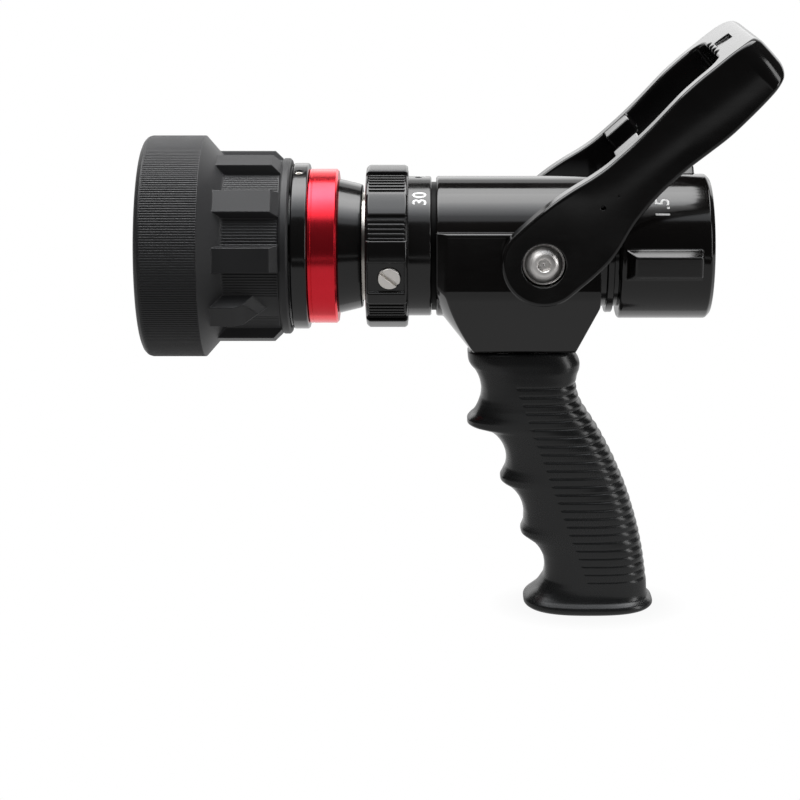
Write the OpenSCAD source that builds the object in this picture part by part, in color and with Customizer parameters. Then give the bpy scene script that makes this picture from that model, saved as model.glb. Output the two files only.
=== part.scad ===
// Hand-held selectable-flow fog nozzle with a pistol grip and a bail handle.
// Waterway axis on X. X = 0 is the inlet mouth of the hose swivel. +Z is up.
// The spray end is the front, towards -X; the inlet is the back.
// Lengths in millimetres. Angles called phi are measured round the waterway, from -Y towards +Z.

/* [Inlet swivel] */
// outside radius of the swivel collar
swivel_r = 33.5; // [32.6:0.1:35]
// radius over the rocker lugs
lug_r = 38.6; // [36:0.1:40]
// crest radius of the hose thread
thread_crest_r = 23.9; // [23.4:0.1:24.2]
// number of thread grooves
thread_turns = 5; // [3:1:5]
// number of race balls
race_balls = 24; // [12:2:30]

/* [Valve body] */
// outside radius of the valve body
body_r = 32.5; // [31.5:0.1:33]
// half width over the flat pivot cheeks
cheek_y = 34.3; // [34:0.1:34.4]
// bore radius of the ball
ball_bore_r = 17.5; // [14:0.5:18]
// height of the keel's flat underside
keel_z = -48; // [-50:0.5:-44]

/* [Bail handle] */
// angle of the arms above the waterway when pulled back
bail_angle = 42; // [36:1:48]
// distance from the pivot to the outside of the crossbar
bail_len = 138.2; // [128:0.2:145]
// half width over the arms
bail_half_w = 46; // [45:0.5:48]
// number of finger scallops in the crossbar
scallops = 5; // [3:1:6]

/* [Flow ring] */
// radius over the grip lugs
flow_r = 38.05; // [37.2:0.05:39]
// number of narrow grip lugs
flow_lugs = 7; // [4:1:7]
// angle between flow settings
detent_step = 24; // [15:1:24]

/* [Pattern sleeve] */
// radius of the rubber bumper
bumper_r = 51.3; // [49:0.1:53]
// number of grip lugs on the bumper
bumper_lugs = 10; // [6:1:12]
// number of fog teeth
fog_teeth = 24; // [16:1:28]
// forward travel of the sleeve
travel = 14; // [8:1:14]
// radius of the red ring
index_r = 35.8; // [34:0.1:37]

/* [Grip] */
// half width of the grip in the palm
grip_w = 16.5; // [14:0.5:19]

/* [Hidden] */
$fn = 72;
// places and sizes shared by several pieces
waterway_r = 19;
gasket_seat_x = -20.5;
race_x = -36.4;
race_r = 27.45;          // to the centres of the race balls
tail_seal_x = -27.5;
cavity_r = 26.2;         // ball chamber in the body
cavity_back_x = -57;
body_back_x = -51.4;
body_front_x = -126.3;
pivot_x = -78.1;         // bail and ball turn about this point
ball_r = 25.5;
trunnion_r = 8;
trunnion_seal_y = 30.2;
stem_seals_x = [-130.6, -138.4];
front_seal_x = -212.75;
guide_x = -217;
flow_steps = 4;          // clicks from the first flow setting to the last
detent_phi = -12.8;      // slotted detent plug
detent_x = -147.4;
pin_x = -134.5;          // drive pins
pin_phis = [90, 270];
pin_r = 1.5;
baffle_screw_r = 2.5;
baffle_head_x = -250.4;  // back of the baffle screw's head
cam_phi = 73;            // cam pin and set screw
cam_x = -189;
sleeve_step_x = -192.9;  // back of the sleeve's wide front part
ring_bore_r = 29.02;     // lock ring and index ring
bolt_top = [-86, 0, -48];
bolt_r = 4;
grip_tilt = -14.6;

// ---- colours
function steel(shade) = [shade, shade, shade + 0.02];
function black(shade) = [shade, shade, shade + 0.005];
seal_black = [0.08, 0.08, 0.08];
off_white = [0.9, 0.9, 0.88];

// ---- helpers: profiles are lists of [radius, x] turned about the waterway
// rectangular profile between two radii and two stations
function band(inner, outer, x_from, x_to) =
  [[inner, x_from], [outer, x_from], [outer, x_to], [inner, x_to]];
// the same, centred on x
function groove(inner, outer, x, half) = band(inner, outer, x - half, x + half);
module turned(profile)
  rotate([0, 90, 0]) rotate_extrude($fn = 96) polygon(profile);
module sector(from, to, profile)
  rotate([0, 90, 0]) rotate([0, 0, -90 - to]) rotate_extrude(angle = to - from, $fn = 96)
    polygon(profile);
module at_phi(phi) rotate([-phi, 0, 0]) children();
// cylinder standing out from the waterway
module radial(phi, x, inner, outer, radius, facets = 32)
  at_phi(phi) translate([x, -inner, 0]) rotate([90, 0, 0])
    cylinder(h = outer - inner, r = radius, $fn = facets);
// ring of round section: mid_r reaches the middle of the section
module oring(x, mid_r, section_r)
  rotate([0, 90, 0]) translate([0, 0, x]) rotate_extrude()
    translate([mid_r, 0]) circle(r = section_r, $fn = 24);
// plate drawn in the X-Z plane, centred on Y
module plate_xz(outline, width)
  rotate([90, 0, 0]) linear_extrude(height = width, center = true) polygon(outline);
// plate drawn as [x, radius] at phi, centred tangentially
module fin(phi, outline, width)
  at_phi(phi) rotate([180, 0, 0]) linear_extrude(height = width, center = true) polygon(outline);
module hex_socket(radius, depth) cylinder(h = depth, r = radius, $fn = 6);
// cylinder on the waterway axis, running forward from a distance ahead of X = 0
module forward(start, length, radius, facets)
  rotate([0, -90, 0]) translate([0, 0, start]) cylinder(h = length, r = radius, $fn = facets);
// cylinder along +Y, starting at y
module outward(y, length, radius, facets)
  translate([0, y, 0]) rotate([-90, 0, 0]) cylinder(h = length, r = radius, $fn = facets);
module at_pivot() translate([pivot_x, 0, 0]) children();
module both_sides() for (side = [-1, 1]) scale([1, side, 1]) children();
// side triangles of a polyhedron made of sections 0 to last, each with the same number of points
function side_faces(last, sides) = concat(
  [for (i = [0:last - 1]) for (j = [0:sides - 1])
    [i * sides + j, (i + 1) * sides + j, (i + 1) * sides + (j + 1) % sides]],
  [for (i = [0:last - 1]) for (j = [0:sides - 1])
    [i * sides + j, (i + 1) * sides + (j + 1) % sides, i * sides + (j + 1) % sides]]);
function solid_faces(last, sides) = concat([[for (j = [0:sides - 1]) j]],
  side_faces(last, sides), [[for (j = [sides - 1:-1:0]) last * sides + j]]);

// ---- inlet swivel
swivel_front_x = -42.6;
rocker_phi = -3.6;
rocker_count = 3;
thread_pitch = 2.52;
thread_first_x = -3.6;
thread_half_w = 1.15;
thread_end_x = -15.9;
screen_pitch = [5.2, 4.5];

module rocker_lug(phi) intersection() {
  at_phi(phi) rotate([0, 90, 0]) translate([0, 0, -42]) linear_extrude(height = 42)
    polygon([[-4.7, -lug_r], [4.7, -lug_r], [7.2, -swivel_r + 1.2], [7.2, -26],
      [-7.2, -26], [-7.2, -swivel_r + 1.2]]);
  fin(phi, [[-40.8, 30], [-40.8, swivel_r - 0.6], [-36.4, lug_r], [-7, lug_r],
    [-6, lug_r - 1], [-6, 30]], 40);
}
module race_groove() oring(race_x, race_r, 2.45);
module swivel_coupling() color(black(0.05)) difference() {
  union() {
    turned([[20, swivel_front_x], [swivel_r - 0.8, swivel_front_x],
      [swivel_r, swivel_front_x + 0.8], [swivel_r, -1.4], [swivel_r - 1.4, 0], [20, 0]]);
    for (k = [0:rocker_count - 1]) rocker_lug(rocker_phi + 360 / rocker_count * k);
  }
  // mouth and gasket seat
  turned([[0, gasket_seat_x], [25.5, gasket_seat_x], [25.5, thread_end_x],
    [thread_crest_r, thread_end_x], [thread_crest_r, 0.2], [0, 0.2]]);
  // thread grooves
  for (i = [0:thread_turns - 1]) let (x = thread_first_x - thread_pitch * i)
    turned([[thread_crest_r - 0.2, x - thread_half_w], [thread_crest_r + 1.4, x],
      [thread_crest_r - 0.2, x + thread_half_w]]);
  // tailpiece bore, ball race and filling hole
  turned(band(0, 27.46, -43, -20.4));
  race_groove();
  radial(-90, race_x, 27, 34, 3.55);
}
module hose_gasket() color([0.1, 0.1, 0.1]) difference() {
  turned([[19, -20.1], [19.3, -20.42], [25.1, -20.42], [25.42, -20.1], [25.42, -16.4],
    [25.1, -16.05], [19.3, -16.05], [19, -16.4]]);
  // groove that holds the screen
  turned(band(18, 20.6, -18.7, -17.8));
}
module inlet_screen() color(steel(0.7))
  rotate([0, 90, 0]) translate([0, 0, -18.65]) linear_extrude(height = 0.8) difference() {
    circle(r = 20.5);
    for (i = [-3:3], j = [-3:3]) if (abs(i + j) <= 3)
      translate([(i + j / 2) * screen_pitch[0], j * screen_pitch[1]]) circle(r = 1.9, $fn = 20);
  }
module race_ball_set() color(steel(0.75)) for (k = [0:race_balls - 1])
  at_phi(360 / race_balls * (k + 0.5)) translate([race_x, -race_r, 0]) sphere(r = 2.35, $fn = 20);
module ball_plug() color(steel(0.6)) difference() {
  radial(-90, race_x, 30, swivel_r - 0.15, 3.5);
  at_phi(-90) translate([race_x, -swivel_r, 0]) cube([0.9, 2, 8], center = true);
}
module inlet_tailpiece() color(black(0.06)) difference() {
  turned([[waterway_r, cavity_back_x], [26.6, cavity_back_x], [27, -56.5], [27, body_back_x],
    [28, body_back_x], [28, -48.3], [30.5, -48.3], [30.8, -48], [30.8, -45.5], [30.5, -45.2],
    [28, -45.2], [28, -42.9], [27.4, -42.9], [27.4, -21], [26.9, gasket_seat_x],
    [20.6, gasket_seat_x], [waterway_r, -22.5]]);
  turned(groove(24.9, 28, tail_seal_x, 1.8));
  race_groove();
}
module tailpiece_oring() color(seal_black) oring(tail_seal_x, 26.18, 1.26);

// ---- valve body
module cheeks_and_keel() intersection() {
  // cross-section, run along X
  rotate([90, 0, 90]) translate([0, 0, -127]) linear_extrude(height = 76)
    polygon([[-30, 12.2], [-33.4, 12.2], [-cheek_y, 11.2], [-cheek_y, -15.6], [-33.6, -17.8],
      [-14.5, keel_z + 0.6], [-13.5, keel_z], [13.5, keel_z], [14.5, keel_z + 0.6],
      [33.6, -17.8], [cheek_y, -15.6], [cheek_y, 11.2], [33.4, 12.2], [30, 12.2]]);
  // side outline
  plate_xz([[-126.1, 13], [body_front_x, -28.8],
    [body_front_x - (keel_z + 28.8) * 0.776, keel_z], [-61.7, keel_z], [-51.8, -23.4],
    [-51.6, 13]], 90);
  // rounded nose
  translate([body_front_x, 0, -28.2]) rotate([0, -37.9, 0]) translate([60, 0, 0])
    cylinder(h = 200, r = 60, center = true, $fn = 120);
  // bevel at the front end of the cheeks
  linear_extrude(height = 200, center = true)
    polygon([[-126.9, -32.3], [-121.2, -34.4], [-50, -34.4], [-50, 34.4], [-121.2, 34.4],
      [-126.9, 32.3]]);
}
module body_shell() {
  turned([[0, body_front_x], [body_r - 0.7, body_front_x], [body_r, body_front_x + 0.7],
    [body_r, body_back_x - 0.6], [body_r - 0.6, body_back_x], [0, body_back_x]]);
  cheeks_and_keel();
}
module valve_body() color(black(0.045)) difference() {
  body_shell();
  // stem socket, waterway, ball chamber and tailpiece socket
  turned([[0, -127], [22.55, -127], [22.55, -104.2], [waterway_r, -104.2], [waterway_r, -101],
    [cavity_r, -101], [cavity_r, cavity_back_x], [27.04, cavity_back_x], [27.04, -51], [0, -51]]);
  // trunnion bores through both cheeks
  at_pivot() rotate([90, 0, 0]) cylinder(h = 90, r = trunnion_r + 0.03, center = true, $fn = 64);
  // tapped hole for the grip bolt
  at_bolt() translate([0, 0, -6]) cylinder(h = 22, r = bolt_r + 0.02, $fn = 32);
  // index notch for the flow numbers
  at_phi(51) translate([body_front_x, -body_r, 0]) rotate([0, 45, 0])
    cube([2.2, 1, 2.2], center = true);
}
// side is 1 behind the ball, -1 ahead of it
module seat(side) color(off_white) difference() {
  turned(band(17.5, 26.1, pivot_x + side * 21.1, pivot_x + side * 14));
  at_pivot() sphere(r = ball_r + 0.05, $fn = 96);
}
module rear_seat() seat(1);
module front_seat() seat(-1);
module seat_oring() color(seal_black) oring(-100.1, 22, 0.88);
module valve_ball() color(steel(0.78)) difference() {
  at_pivot() sphere(r = ball_r, $fn = 96);
  at_pivot() rotate([0, 90, 0]) cylinder(h = 60, r = ball_bore_r, center = true);
  // slots for the trunnion tongues
  for (side = [-1, 1]) translate([pivot_x, side * 25, 0]) rotate([0, -bail_angle, 0])
    cube([12.2, 7, 5.2], center = true);
}
module trunnions() color(steel(0.72)) at_pivot() both_sides() difference() {
  union() {
    outward(26, 8.8, trunnion_r, 64);
    // inner tongue
    translate([0, 24.4, 0]) rotate([0, -bail_angle, 0]) cube([12, 4.6, 5], center = true);
    // square drive with rounded corners
    intersection() {
      outward(34.4, 6.2, trunnion_r - 0.05, 64);
      translate([0, 37, 0]) rotate([0, -bail_angle, 0]) cube([12.6, 12, 12.6], center = true);
    }
  }
  outward(29, 13, 4.02, 32);
  // ring groove
  translate([0, trunnion_seal_y, 0]) rotate([-90, 0, 0]) rotate_extrude($fn = 64)
    translate([6.6, -1.2]) square([2, 2.4]);
}
module trunnion_orings() color(seal_black) for (side = [-1, 1])
  translate([pivot_x, side * trunnion_seal_y, 0]) rotate([90, 0, 0])
    rotate_extrude($fn = 64) translate([7.3, 0]) circle(r = 0.68, $fn = 20);
module thrust_washers() color([0.85, 0.85, 0.82]) for (side = [-1, 1])
  translate([pivot_x, side * (cheek_y + 0.5), 0]) rotate([90, 0, 0]) difference() {
    cylinder(h = 0.9, r = 12.5, center = true, $fn = 64);
    cylinder(h = 3, r = trunnion_r + 0.1, center = true, $fn = 64);
  }

// ---- bail handle: side outline crossed with plan outline, drawn with the arms along local X
bail_corner_r = 12;
bail_counterbore_y = 41.2;
scallop_pitch = 11.4;
// side outline as [x, z]: top edge away from the pivot, round the crossbar, bottom edge back
bail_side = [
  [-2, 19.9], [5, 19.5], [14, 19], [23, 18.5], [33, 17.1], [42, 15.4], [52, 14.4], [62, 14.4],
  [75, 14.9], [90, 16.2], [98, 16.8], [106, 16.8], [114, 16.4], [122, 16.1], [128, 15.6],
  [bail_len - 3.6, 14.2], [bail_len - 1.2, 13], [bail_len, 10.4], [bail_len, -2.8],
  [bail_len - 1.6, -6.2], [bail_len - 5.5, -8.8], [bail_len - 13, -10.2],
  [112, -11.3], [100, -11.8], [88, -11.1], [74, -10.2], [62, -10.4], [54, -11.2], [44, -12.8],
  [36, -15.2], [30, -17.4], [22, -19.6], [12, -20.4], [0, -20]];

// U shape with rounded corners
module bail_plan() difference() {
  union() {
    translate([-30, -bail_half_w]) square([30 + bail_len - bail_corner_r, 2 * bail_half_w]);
    translate([0, -bail_half_w + bail_corner_r])
      square([bail_len, 2 * bail_half_w - 2 * bail_corner_r]);
    for (side = [-1, 1])
      translate([bail_len - bail_corner_r, side * (bail_half_w - bail_corner_r)])
        circle(r = bail_corner_r, $fn = 48);
  }
  translate([-40, -35.3]) square([40 + 109, 70.6]);
  translate([100, -26.3]) square([18, 52.6]);
  for (side = [-1, 1]) translate([109, side * 26.3]) circle(r = 9, $fn = 40);
}
module bail_handle() color(black(0.04)) at_pivot() rotate([0, -bail_angle, 0]) difference() {
  union() {
    intersection() {
      union() {
        plate_xz(bail_side, 100);
        rotate([90, 0, 0]) cylinder(h = 100, r = 20, center = true, $fn = 96);
      }
      linear_extrude(height = 60, center = true) bail_plan();
    }
    // inward stop lugs
    for (side = [-1, 1]) translate([62.3, side * 29, 10.1]) cube([14, 13.6, 8], center = true);
  }
  // counterbores, screw holes, square drive sockets and a small pin hole in each arm
  both_sides() {
    outward(bail_counterbore_y, 10, 9.9, 64);
    outward(30, 20, 5.1, 40);
    intersection() {
      outward(30, 10.9, trunnion_r + 0.02, 64);
      translate([0, 36, 0]) cube([12.7, 14, 12.7], center = true);
    }
    translate([35, 0, -1.5]) outward(30, 20, 0.7, 16);
  }
  // finger scallops along the crossbar's edge nearer the pivot
  for (k = [0:scallops - 1])
    translate([115.2, (k - (scallops - 1) / 2) * scallop_pitch, 0]) rotate([0, 22, 0])
      cylinder(h = 60, r = 5.4, $fn = 32);
  // shallow panel recess in the top of the crossbar
  translate([bail_len - 9.2, 0, 15.8]) rotate([0, 9, 0]) cube([9, 15, 2.4], center = true);
}
// [radius, distance from the waterway]: shank, head rim, then a spherical dome
dome_centre = 34.77;
dome_r_squared = 130.6;
bail_screw_profile = concat(
  [[0, 29.6], [3.6, 29.6], [4, 30], [4, bail_counterbore_y], [9.4, bail_counterbore_y],
    [9.5, 41.3], [9.5, 41.9], [9.3, 42.1], [8.7, 42.1]],
  [for (radius = [8.6:-0.6:3.2]) [radius, dome_centre + sqrt(dome_r_squared - radius * radius)]],
  [[2.9, 45.2], [0, 45.2]]);
module bail_screws() color(steel(0.8)) for (side = [-1, 1])
  at_pivot() rotate([-90 * side, 0, 0]) difference() {
    rotate_extrude() polygon(bail_screw_profile);
    translate([0, 0, 42.4]) rotate([0, 0, 12]) hex_socket(2.85, 6);
  }

// ---- stem
cam_steps = 40;
cam_from = -5.6;   // groove ends, in degrees past the cam pin
cam_to = 185.6;
cam_half_w = 2.25;

module stem_tube() color([0.72, 0.71, 0.68]) difference() {
  turned([[waterway_r, -104.4], [22, -104.4], [22.5, -105], [22.5, body_front_x],
    [29.8, body_front_x], [29.8, -128.4], [26.5, -128.4], [26.5, -155.6], [24.9, -155.6],
    [24.9, -156.9], [26.5, -156.9], [26.5, -158.2], [25.2, -158.6], [25.2, -209.8],
    [26.5, -210.5], [32.9, -210.5], [32.9, -220], [27.5, -220], [27, -220.5], [27, -225],
    [24.5, -229], [22.6, -229], [waterway_r, -221]]);
  // ring grooves
  for (x = stem_seals_x) turned(groove(24.65, 27, x, 1.1));
  turned(groove(30.2, 33.5, front_seal_x, 1.45));
  turned(groove(30, 33.5, guide_x, 1.6));
  // slots for the drive pins
  for (phi = pin_phis)
    sector(phi - flow_steps * detent_step - 5, phi + 5, groove(17, 28, pin_x, pin_r + 0.15));
  // shallow track of the detent ball, with a dimple at every click
  sector(detent_phi - flow_steps * detent_step - 6, detent_phi + 6,
    groove(25.9, 28, detent_x, 1.55));
  for (k = [0:flow_steps]) at_phi(detent_phi - detent_step * k)
    translate([detent_x, -27.75, 0]) sphere(r = 2.08, $fn = 24);
  cam_groove();
}
// cutter for the helical cam groove: four-cornered sections, each corner [radius, x offset]
module cam_groove() {
  corners = groove(22.8, 27, 0, -cam_half_w);
  section = [corners[0], corners[1], corners[2], corners[3]];
  points = [for (i = [0:cam_steps])
    let (turn = cam_from + (cam_to - cam_from) * i / cam_steps,
      phi = cam_phi + turn, x = cam_x - travel * turn / 180)
    for (corner = section) [x + corner[1], -corner[0] * cos(phi), corner[0] * sin(phi)]];
  end = 4 * cam_steps;
  polyhedron(points = points, faces = concat([[2, 1, 0], [3, 2, 0]],
    [for (face = side_faces(cam_steps, 4)) [face[2], face[1], face[0]]],
    [[end, end + 1, end + 2], [end, end + 2, end + 3]]));
}
module stem_orings() color(seal_black) {
  for (x = stem_seals_x) oring(x, 25.6, 0.92);
  oring(front_seal_x, 31.6, 1.36);
}
module snap_ring() color(steel(0.6)) sector(-250, 70, band(24.95, 28.3, -156.75, -155.75));
module spider_plate() color([0.7, 0.6, 0.35]) difference() {
  union() {
    turned(band(0, waterway_r - 0.01, -153.2, -150.3));
    turned([[0, -153.2], [8, -153.2], [5, -158], [5, -238], [0, -238]]);
  }
  for (k = [0:3]) sector(90 * k + 12, 90 * k + 60, band(8.5, 16.4, -154, -150));
  forward(226, 20, baffle_screw_r + 0.02, 24);
}
module baffle_head() color(black(0.06)) difference() {
  turned([[0, -238], [6.5, -238], [8, -240.5], [14, -243.4], [23, -246.6], [28.2, -249.4],
    [29, -251], [29, -252.2], [28.2, -253], [22, -253], [20, -251.8], [9, -251.8], [8, -252.6],
    [0, -252.6]]);
  forward(230, 30, baffle_screw_r + 0.1, 24);
  forward(-baffle_head_x, 5, 5.2, 40);
}
module baffle_screw() color(steel(0.78)) difference() {
  union() {
    forward(227, 24, baffle_screw_r, 24);
    forward(-baffle_head_x, 4.2, 5, 40);
  }
  forward(252.4, 4, 2.3, 6);
}

// ---- flow ring
wide_phi = -9.3;               // centre of the wide lug
wide_angle = 44.5;
narrow_phi = 42.8;             // centre of the first narrow lug
narrow_angle = 20.7;
narrow_pitch = 255.8 / 6;
rib_pitch = 3.4;
rib_half_angle = 0.85;

module flow_lug(phi, angle) sector(phi - angle / 2, phi + angle / 2,
  [[30, -157.9], [flow_r - 1.5, -157.9], [flow_r, -156.4], [flow_r, -140.3],
    [flow_r - 1.1, -139.2], [30, -139.2]]);
// fine ribs centred on phi, reaching a number of pitches to each side
module flow_ribs(phi, reach) for (i = [-reach:reach])
  sector(phi + i * rib_pitch - rib_half_angle, phi + i * rib_pitch + rib_half_angle,
    [[30, -156.8], [36.2, -156.8], [36.75, -156.2], [36.75, -141.2], [36.2, -140.6],
      [30, -140.6]]);
module flow_ring() color(black(0.05)) difference() {
  union() {
    turned([[29, -158.1], [35.1, -158.1], [35.9, -157.3], [35.9, -139.9], [35.3, -139.1],
      [32.4, -139.1], [32.4, -129], [31.9, -128.5], [26.56, -128.5], [26.56, -155.5],
      [29, -155.5]]);
    for (k = [0:flow_lugs - 1]) flow_lug(narrow_phi + narrow_pitch * k, narrow_angle);
    flow_lug(wide_phi, wide_angle);
    for (k = [0:flow_lugs - 2]) flow_ribs(narrow_phi + narrow_pitch * (k + 0.5), 2.5);
    for (side = [-1, 1]) flow_ribs(wide_phi + side * 32, 2);
  }
  // flat pocket and stepped hole for the detent plug
  at_phi(detent_phi) rotate([0, 90, 0]) translate([0, 0, -156.4]) linear_extrude(height = 15.4)
    polygon([[-6.2, -35.7], [6.2, -35.7], [8.4, -39.5], [-8.4, -39.5]]);
  radial(detent_phi, detent_x, 31, 40, 5.2, 48);
  radial(detent_phi, detent_x, 25, 40, 2.12, 24);
  for (phi = pin_phis) radial(phi, pin_x, 25, 30.6, pin_r + 0.02, 20);
}
module detent_plug() color(steel(0.8)) difference() {
  radial(detent_phi, detent_x, 33.4, 36.9, 5.1, 48);
  at_phi(detent_phi) translate([detent_x, -36.9, 0]) rotate([0, 40, 0])
    cube([12, 2.2, 1.1], center = true);
}
// round wire wound about its own radial axis
module detent_spring() color(steel(0.7)) {
  turn_steps = 12;
  sides = 8;
  coil_r = 1.45;
  wire_r = 0.3;
  inner = 29.78;
  outer = 33.06;
  steps = turn_steps * 3.6;
  last = floor(steps);
  points = [for (i = [0:last])
    let (turn = 360 * i / turn_steps, height = inner + (outer - inner) * i / steps)
    for (j = [0:sides - 1])
      let (around = 360 * j / sides, radius = coil_r + wire_r * cos(around))
      [radius * cos(turn), radius * sin(turn), height + wire_r * sin(around)]];
  at_phi(detent_phi) translate([detent_x, 0, 0]) rotate([90, 0, 0])
    polyhedron(points = points, faces = solid_faces(last, sides));
}
module detent_ball() color(steel(0.75))
  at_phi(detent_phi) translate([detent_x, -27.95, 0]) sphere(r = 2, $fn = 24);
module drive_pins() color(steel(0.75))
  for (phi = pin_phis) radial(phi, pin_x, 17.6, 30.5, pin_r, 20);
module metering_sleeve() color([0.75, 0.65, 0.4]) difference() {
  union() {
    turned(band(17, waterway_r - 0.04, -150.2, -131));
    turned(band(0, 18, -150.2, -147.4));
  }
  for (k = [0:3]) sector(90 * k + 16, 90 * k + 56, band(9, 16, -151, -147));
  for (phi = pin_phis) radial(phi, pin_x, 16, 20, pin_r + 0.02, 20);
}

// ---- pattern sleeve
bumper_lug_phi = 2.7;
bumper_lug_step = 360 / bumper_lugs;
tooth_step = 360 / fog_teeth;
tooth_phi = 4;

module guide_ring() color(off_white) turned(groove(30.05, 32.97, guide_x, 1.5));
module pattern_sleeve() color(black(0.06)) difference() {
  turned([[25.26, -166.4], [26.6, -166.4], [27, -166.8], [27, -171.3], [29, -171.3],
    [29, sleeve_step_x], [36.98, sleeve_step_x], [36.98, -254.9], [36.2, -255], [33, -248.5],
    [33, -195.4], [25.26, -195.4]]);
  radial(cam_phi, cam_x, 24, 30, 1.93, 24);
}
module rubber_bumper() color(black(0.09)) union() {
  turned([[37, sleeve_step_x], [39.8, sleeve_step_x], [40.8, -193.8], [40.8, -196.2],
    [40.3, -196.9], [39.6, -197.2], [39.6, -221.7], [bumper_r - 0.4, -231.6], [bumper_r, -232],
    [bumper_r, -257.6], [bumper_r - 0.35, -259.2], [bumper_r - 1.3, -260.4],
    [bumper_r - 3, -261.1], [46.6, -261.1], [45.6, -260.6], [37.6, -255.6], [37, -255]]);
  for (k = [0:bumper_lugs - 2])
    fin(bumper_lug_phi + bumper_lug_step * k, [[-228, 38], [-228, 42], [-226, 43.9],
      [-199.3, 43.9], [-196.6, 41.2], [-196.6, 38]], 11.2);
  // the last lug is wider and rises to the rim
  fin(bumper_lug_phi - bumper_lug_step, [[-233, 38], [-233, bumper_r - 0.7],
    [-228.5, bumper_r - 0.7], [-209, 43.9], [-199.3, 43.9], [-196.6, 41.2], [-196.6, 38]], 12.6);
  // fog teeth on the front cone
  for (k = [0:fog_teeth - 1])
    sector(tooth_step * k + tooth_phi, tooth_step * (k + 0.48) + tooth_phi,
      [[37.4, -255], [38.4, -258.6], [44.6, -260.6], [46.2, -260.6], [46.2, -256], [40, -254]]);
}
module lock_ring() color(black(0.045)) difference() {
  turned([[ring_bore_r, -192.1], [37.9, -192.1], [38.5, -191.5], [38.5, -185.3],
    [37.9, -184.7], [ring_bore_r, -184.7]]);
  radial(cam_phi, cam_x, 28, 40, 2.02);
}
module set_screw() color(steel(0.5)) difference() {
  radial(cam_phi, cam_x, 29.2, 37.4, 2);
  at_phi(cam_phi) translate([cam_x, -35.4, 0]) rotate([90, 0, 0]) hex_socket(1.15, 4);
}
module cam_pin() color(steel(0.75)) radial(cam_phi, cam_x, 23, 29.1, 1.9, 24);
module index_ring() color([0.62, 0.03, 0.07])
  turned([[ring_bore_r, -184.6], [index_r - 0.3, -184.6], [index_r, -184.3],
    [index_r, -172.2], [index_r - 0.9, -171.3], [ring_bore_r, -171.3]]);
module rear_skirt() color(black(0.05))
  turned([[27.03, -171.2], [31, -171.2], [31.1, -170.6], [28.7, -161.6], [28.1, -161],
    [25.9, -161], [25.4, -161.5], [25.4, -166.3], [27.03, -166.3]]);

// ---- pistol grip
grip_drawn_w = 16.5;   // palm half width that the sections below are drawn for
grip_sides = 40;
grip_exponent = 2.7;   // superellipse; 2 would be an ellipse
// sections stacked downwards: [z, front x, back x, half width]
grip_sections = [
  [-48.7, -110.4, -62.5, 13.6], [-49.6, -111.6, -61.6, 14.4], [-52, -111.5, -60.3, 15],
  [-54, -111.2, -59.3, 15.3], [-56, -110.2, -58.9, 15.45], [-58, -108.4, -59.1, 15.6],
  [-60, -107.2, -59.8, 15.7], [-62, -106.3, -60.3, 15.8], [-65, -105.5, -60.5, 15.9],
  [-68, -105.1, -60.1, 16], [-71, -105.3, -59.4, 16.05], [-74, -106.1, -58.2, 16.1],
  [-77, -107.3, -56.5, 16.2], [-79.3, -108.7, -55, 16.2], [-81.2, -110.8, -53.7, 16.2],
  [-82.6, -111.7, -52.8, 16.2], [-84, -111.7, -51.9, 16.2], [-85.3, -110.2, -51.1, 16.2],
  [-86.3, -106.2, -50.4, 16.2], [-87.4, -102.2, -49.8, 16.2], [-89.1, -99.4, -48.8, 16.25],
  [-91.5, -97, -47.5, 16.3], [-95, -94.8, -45.6, 16.4], [-99, -93.5, -43.6, 16.45],
  [-102, -93.2, -42.1, 16.5], [-105, -93.5, -40.8, 16.5], [-108.8, -95.1, -39.1, 16.5],
  [-110.8, -96, -38.3, 16.5], [-111.9, -95.9, -37.8, 16.5], [-113.2, -94.7, -37.3, 16.5],
  [-114.7, -92.1, -36.7, 16.5], [-117, -89.5, -35.9, 16.5], [-120.7, -86.9, -34.6, 16.6],
  [-124.7, -85.4, -33.4, 16.65], [-128.6, -84.8, -32.2, 16.7], [-132.6, -84.9, -31.1, 16.7],
  [-134.8, -85.5, -30.5, 16.7], [-136.8, -86.2, -30, 16.7], [-138.2, -85.9, -29.7, 16.7],
  [-140, -83.7, -29.3, 16.7], [-142.6, -80, -28.8, 16.7], [-146.6, -76.9, -28, 16.7],
  [-150.6, -75.2, -27.4, 16.7], [-155.6, -74.6, -26.7, 16.7], [-159.5, -75.1, -26.2, 16.75],
  [-162.7, -76.9, -25.9, 16.8], [-165, -78.6, -25.8, 17], [-166.9, -80.9, -25.7, 17.4],
  [-168.8, -83.3, -25.3, 18.3], [-169.9, -84.2, -24.1, 19.3], [-171, -84.6, -23.2, 20.2],
  [-172.4, -84.5, -22.8, 20.5], [-173.8, -83.2, -23.9, 19.8], [-174.6, -81.3, -25.8, 18.6],
  [-175, -79.4, -27.7, 17.4]];

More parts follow.
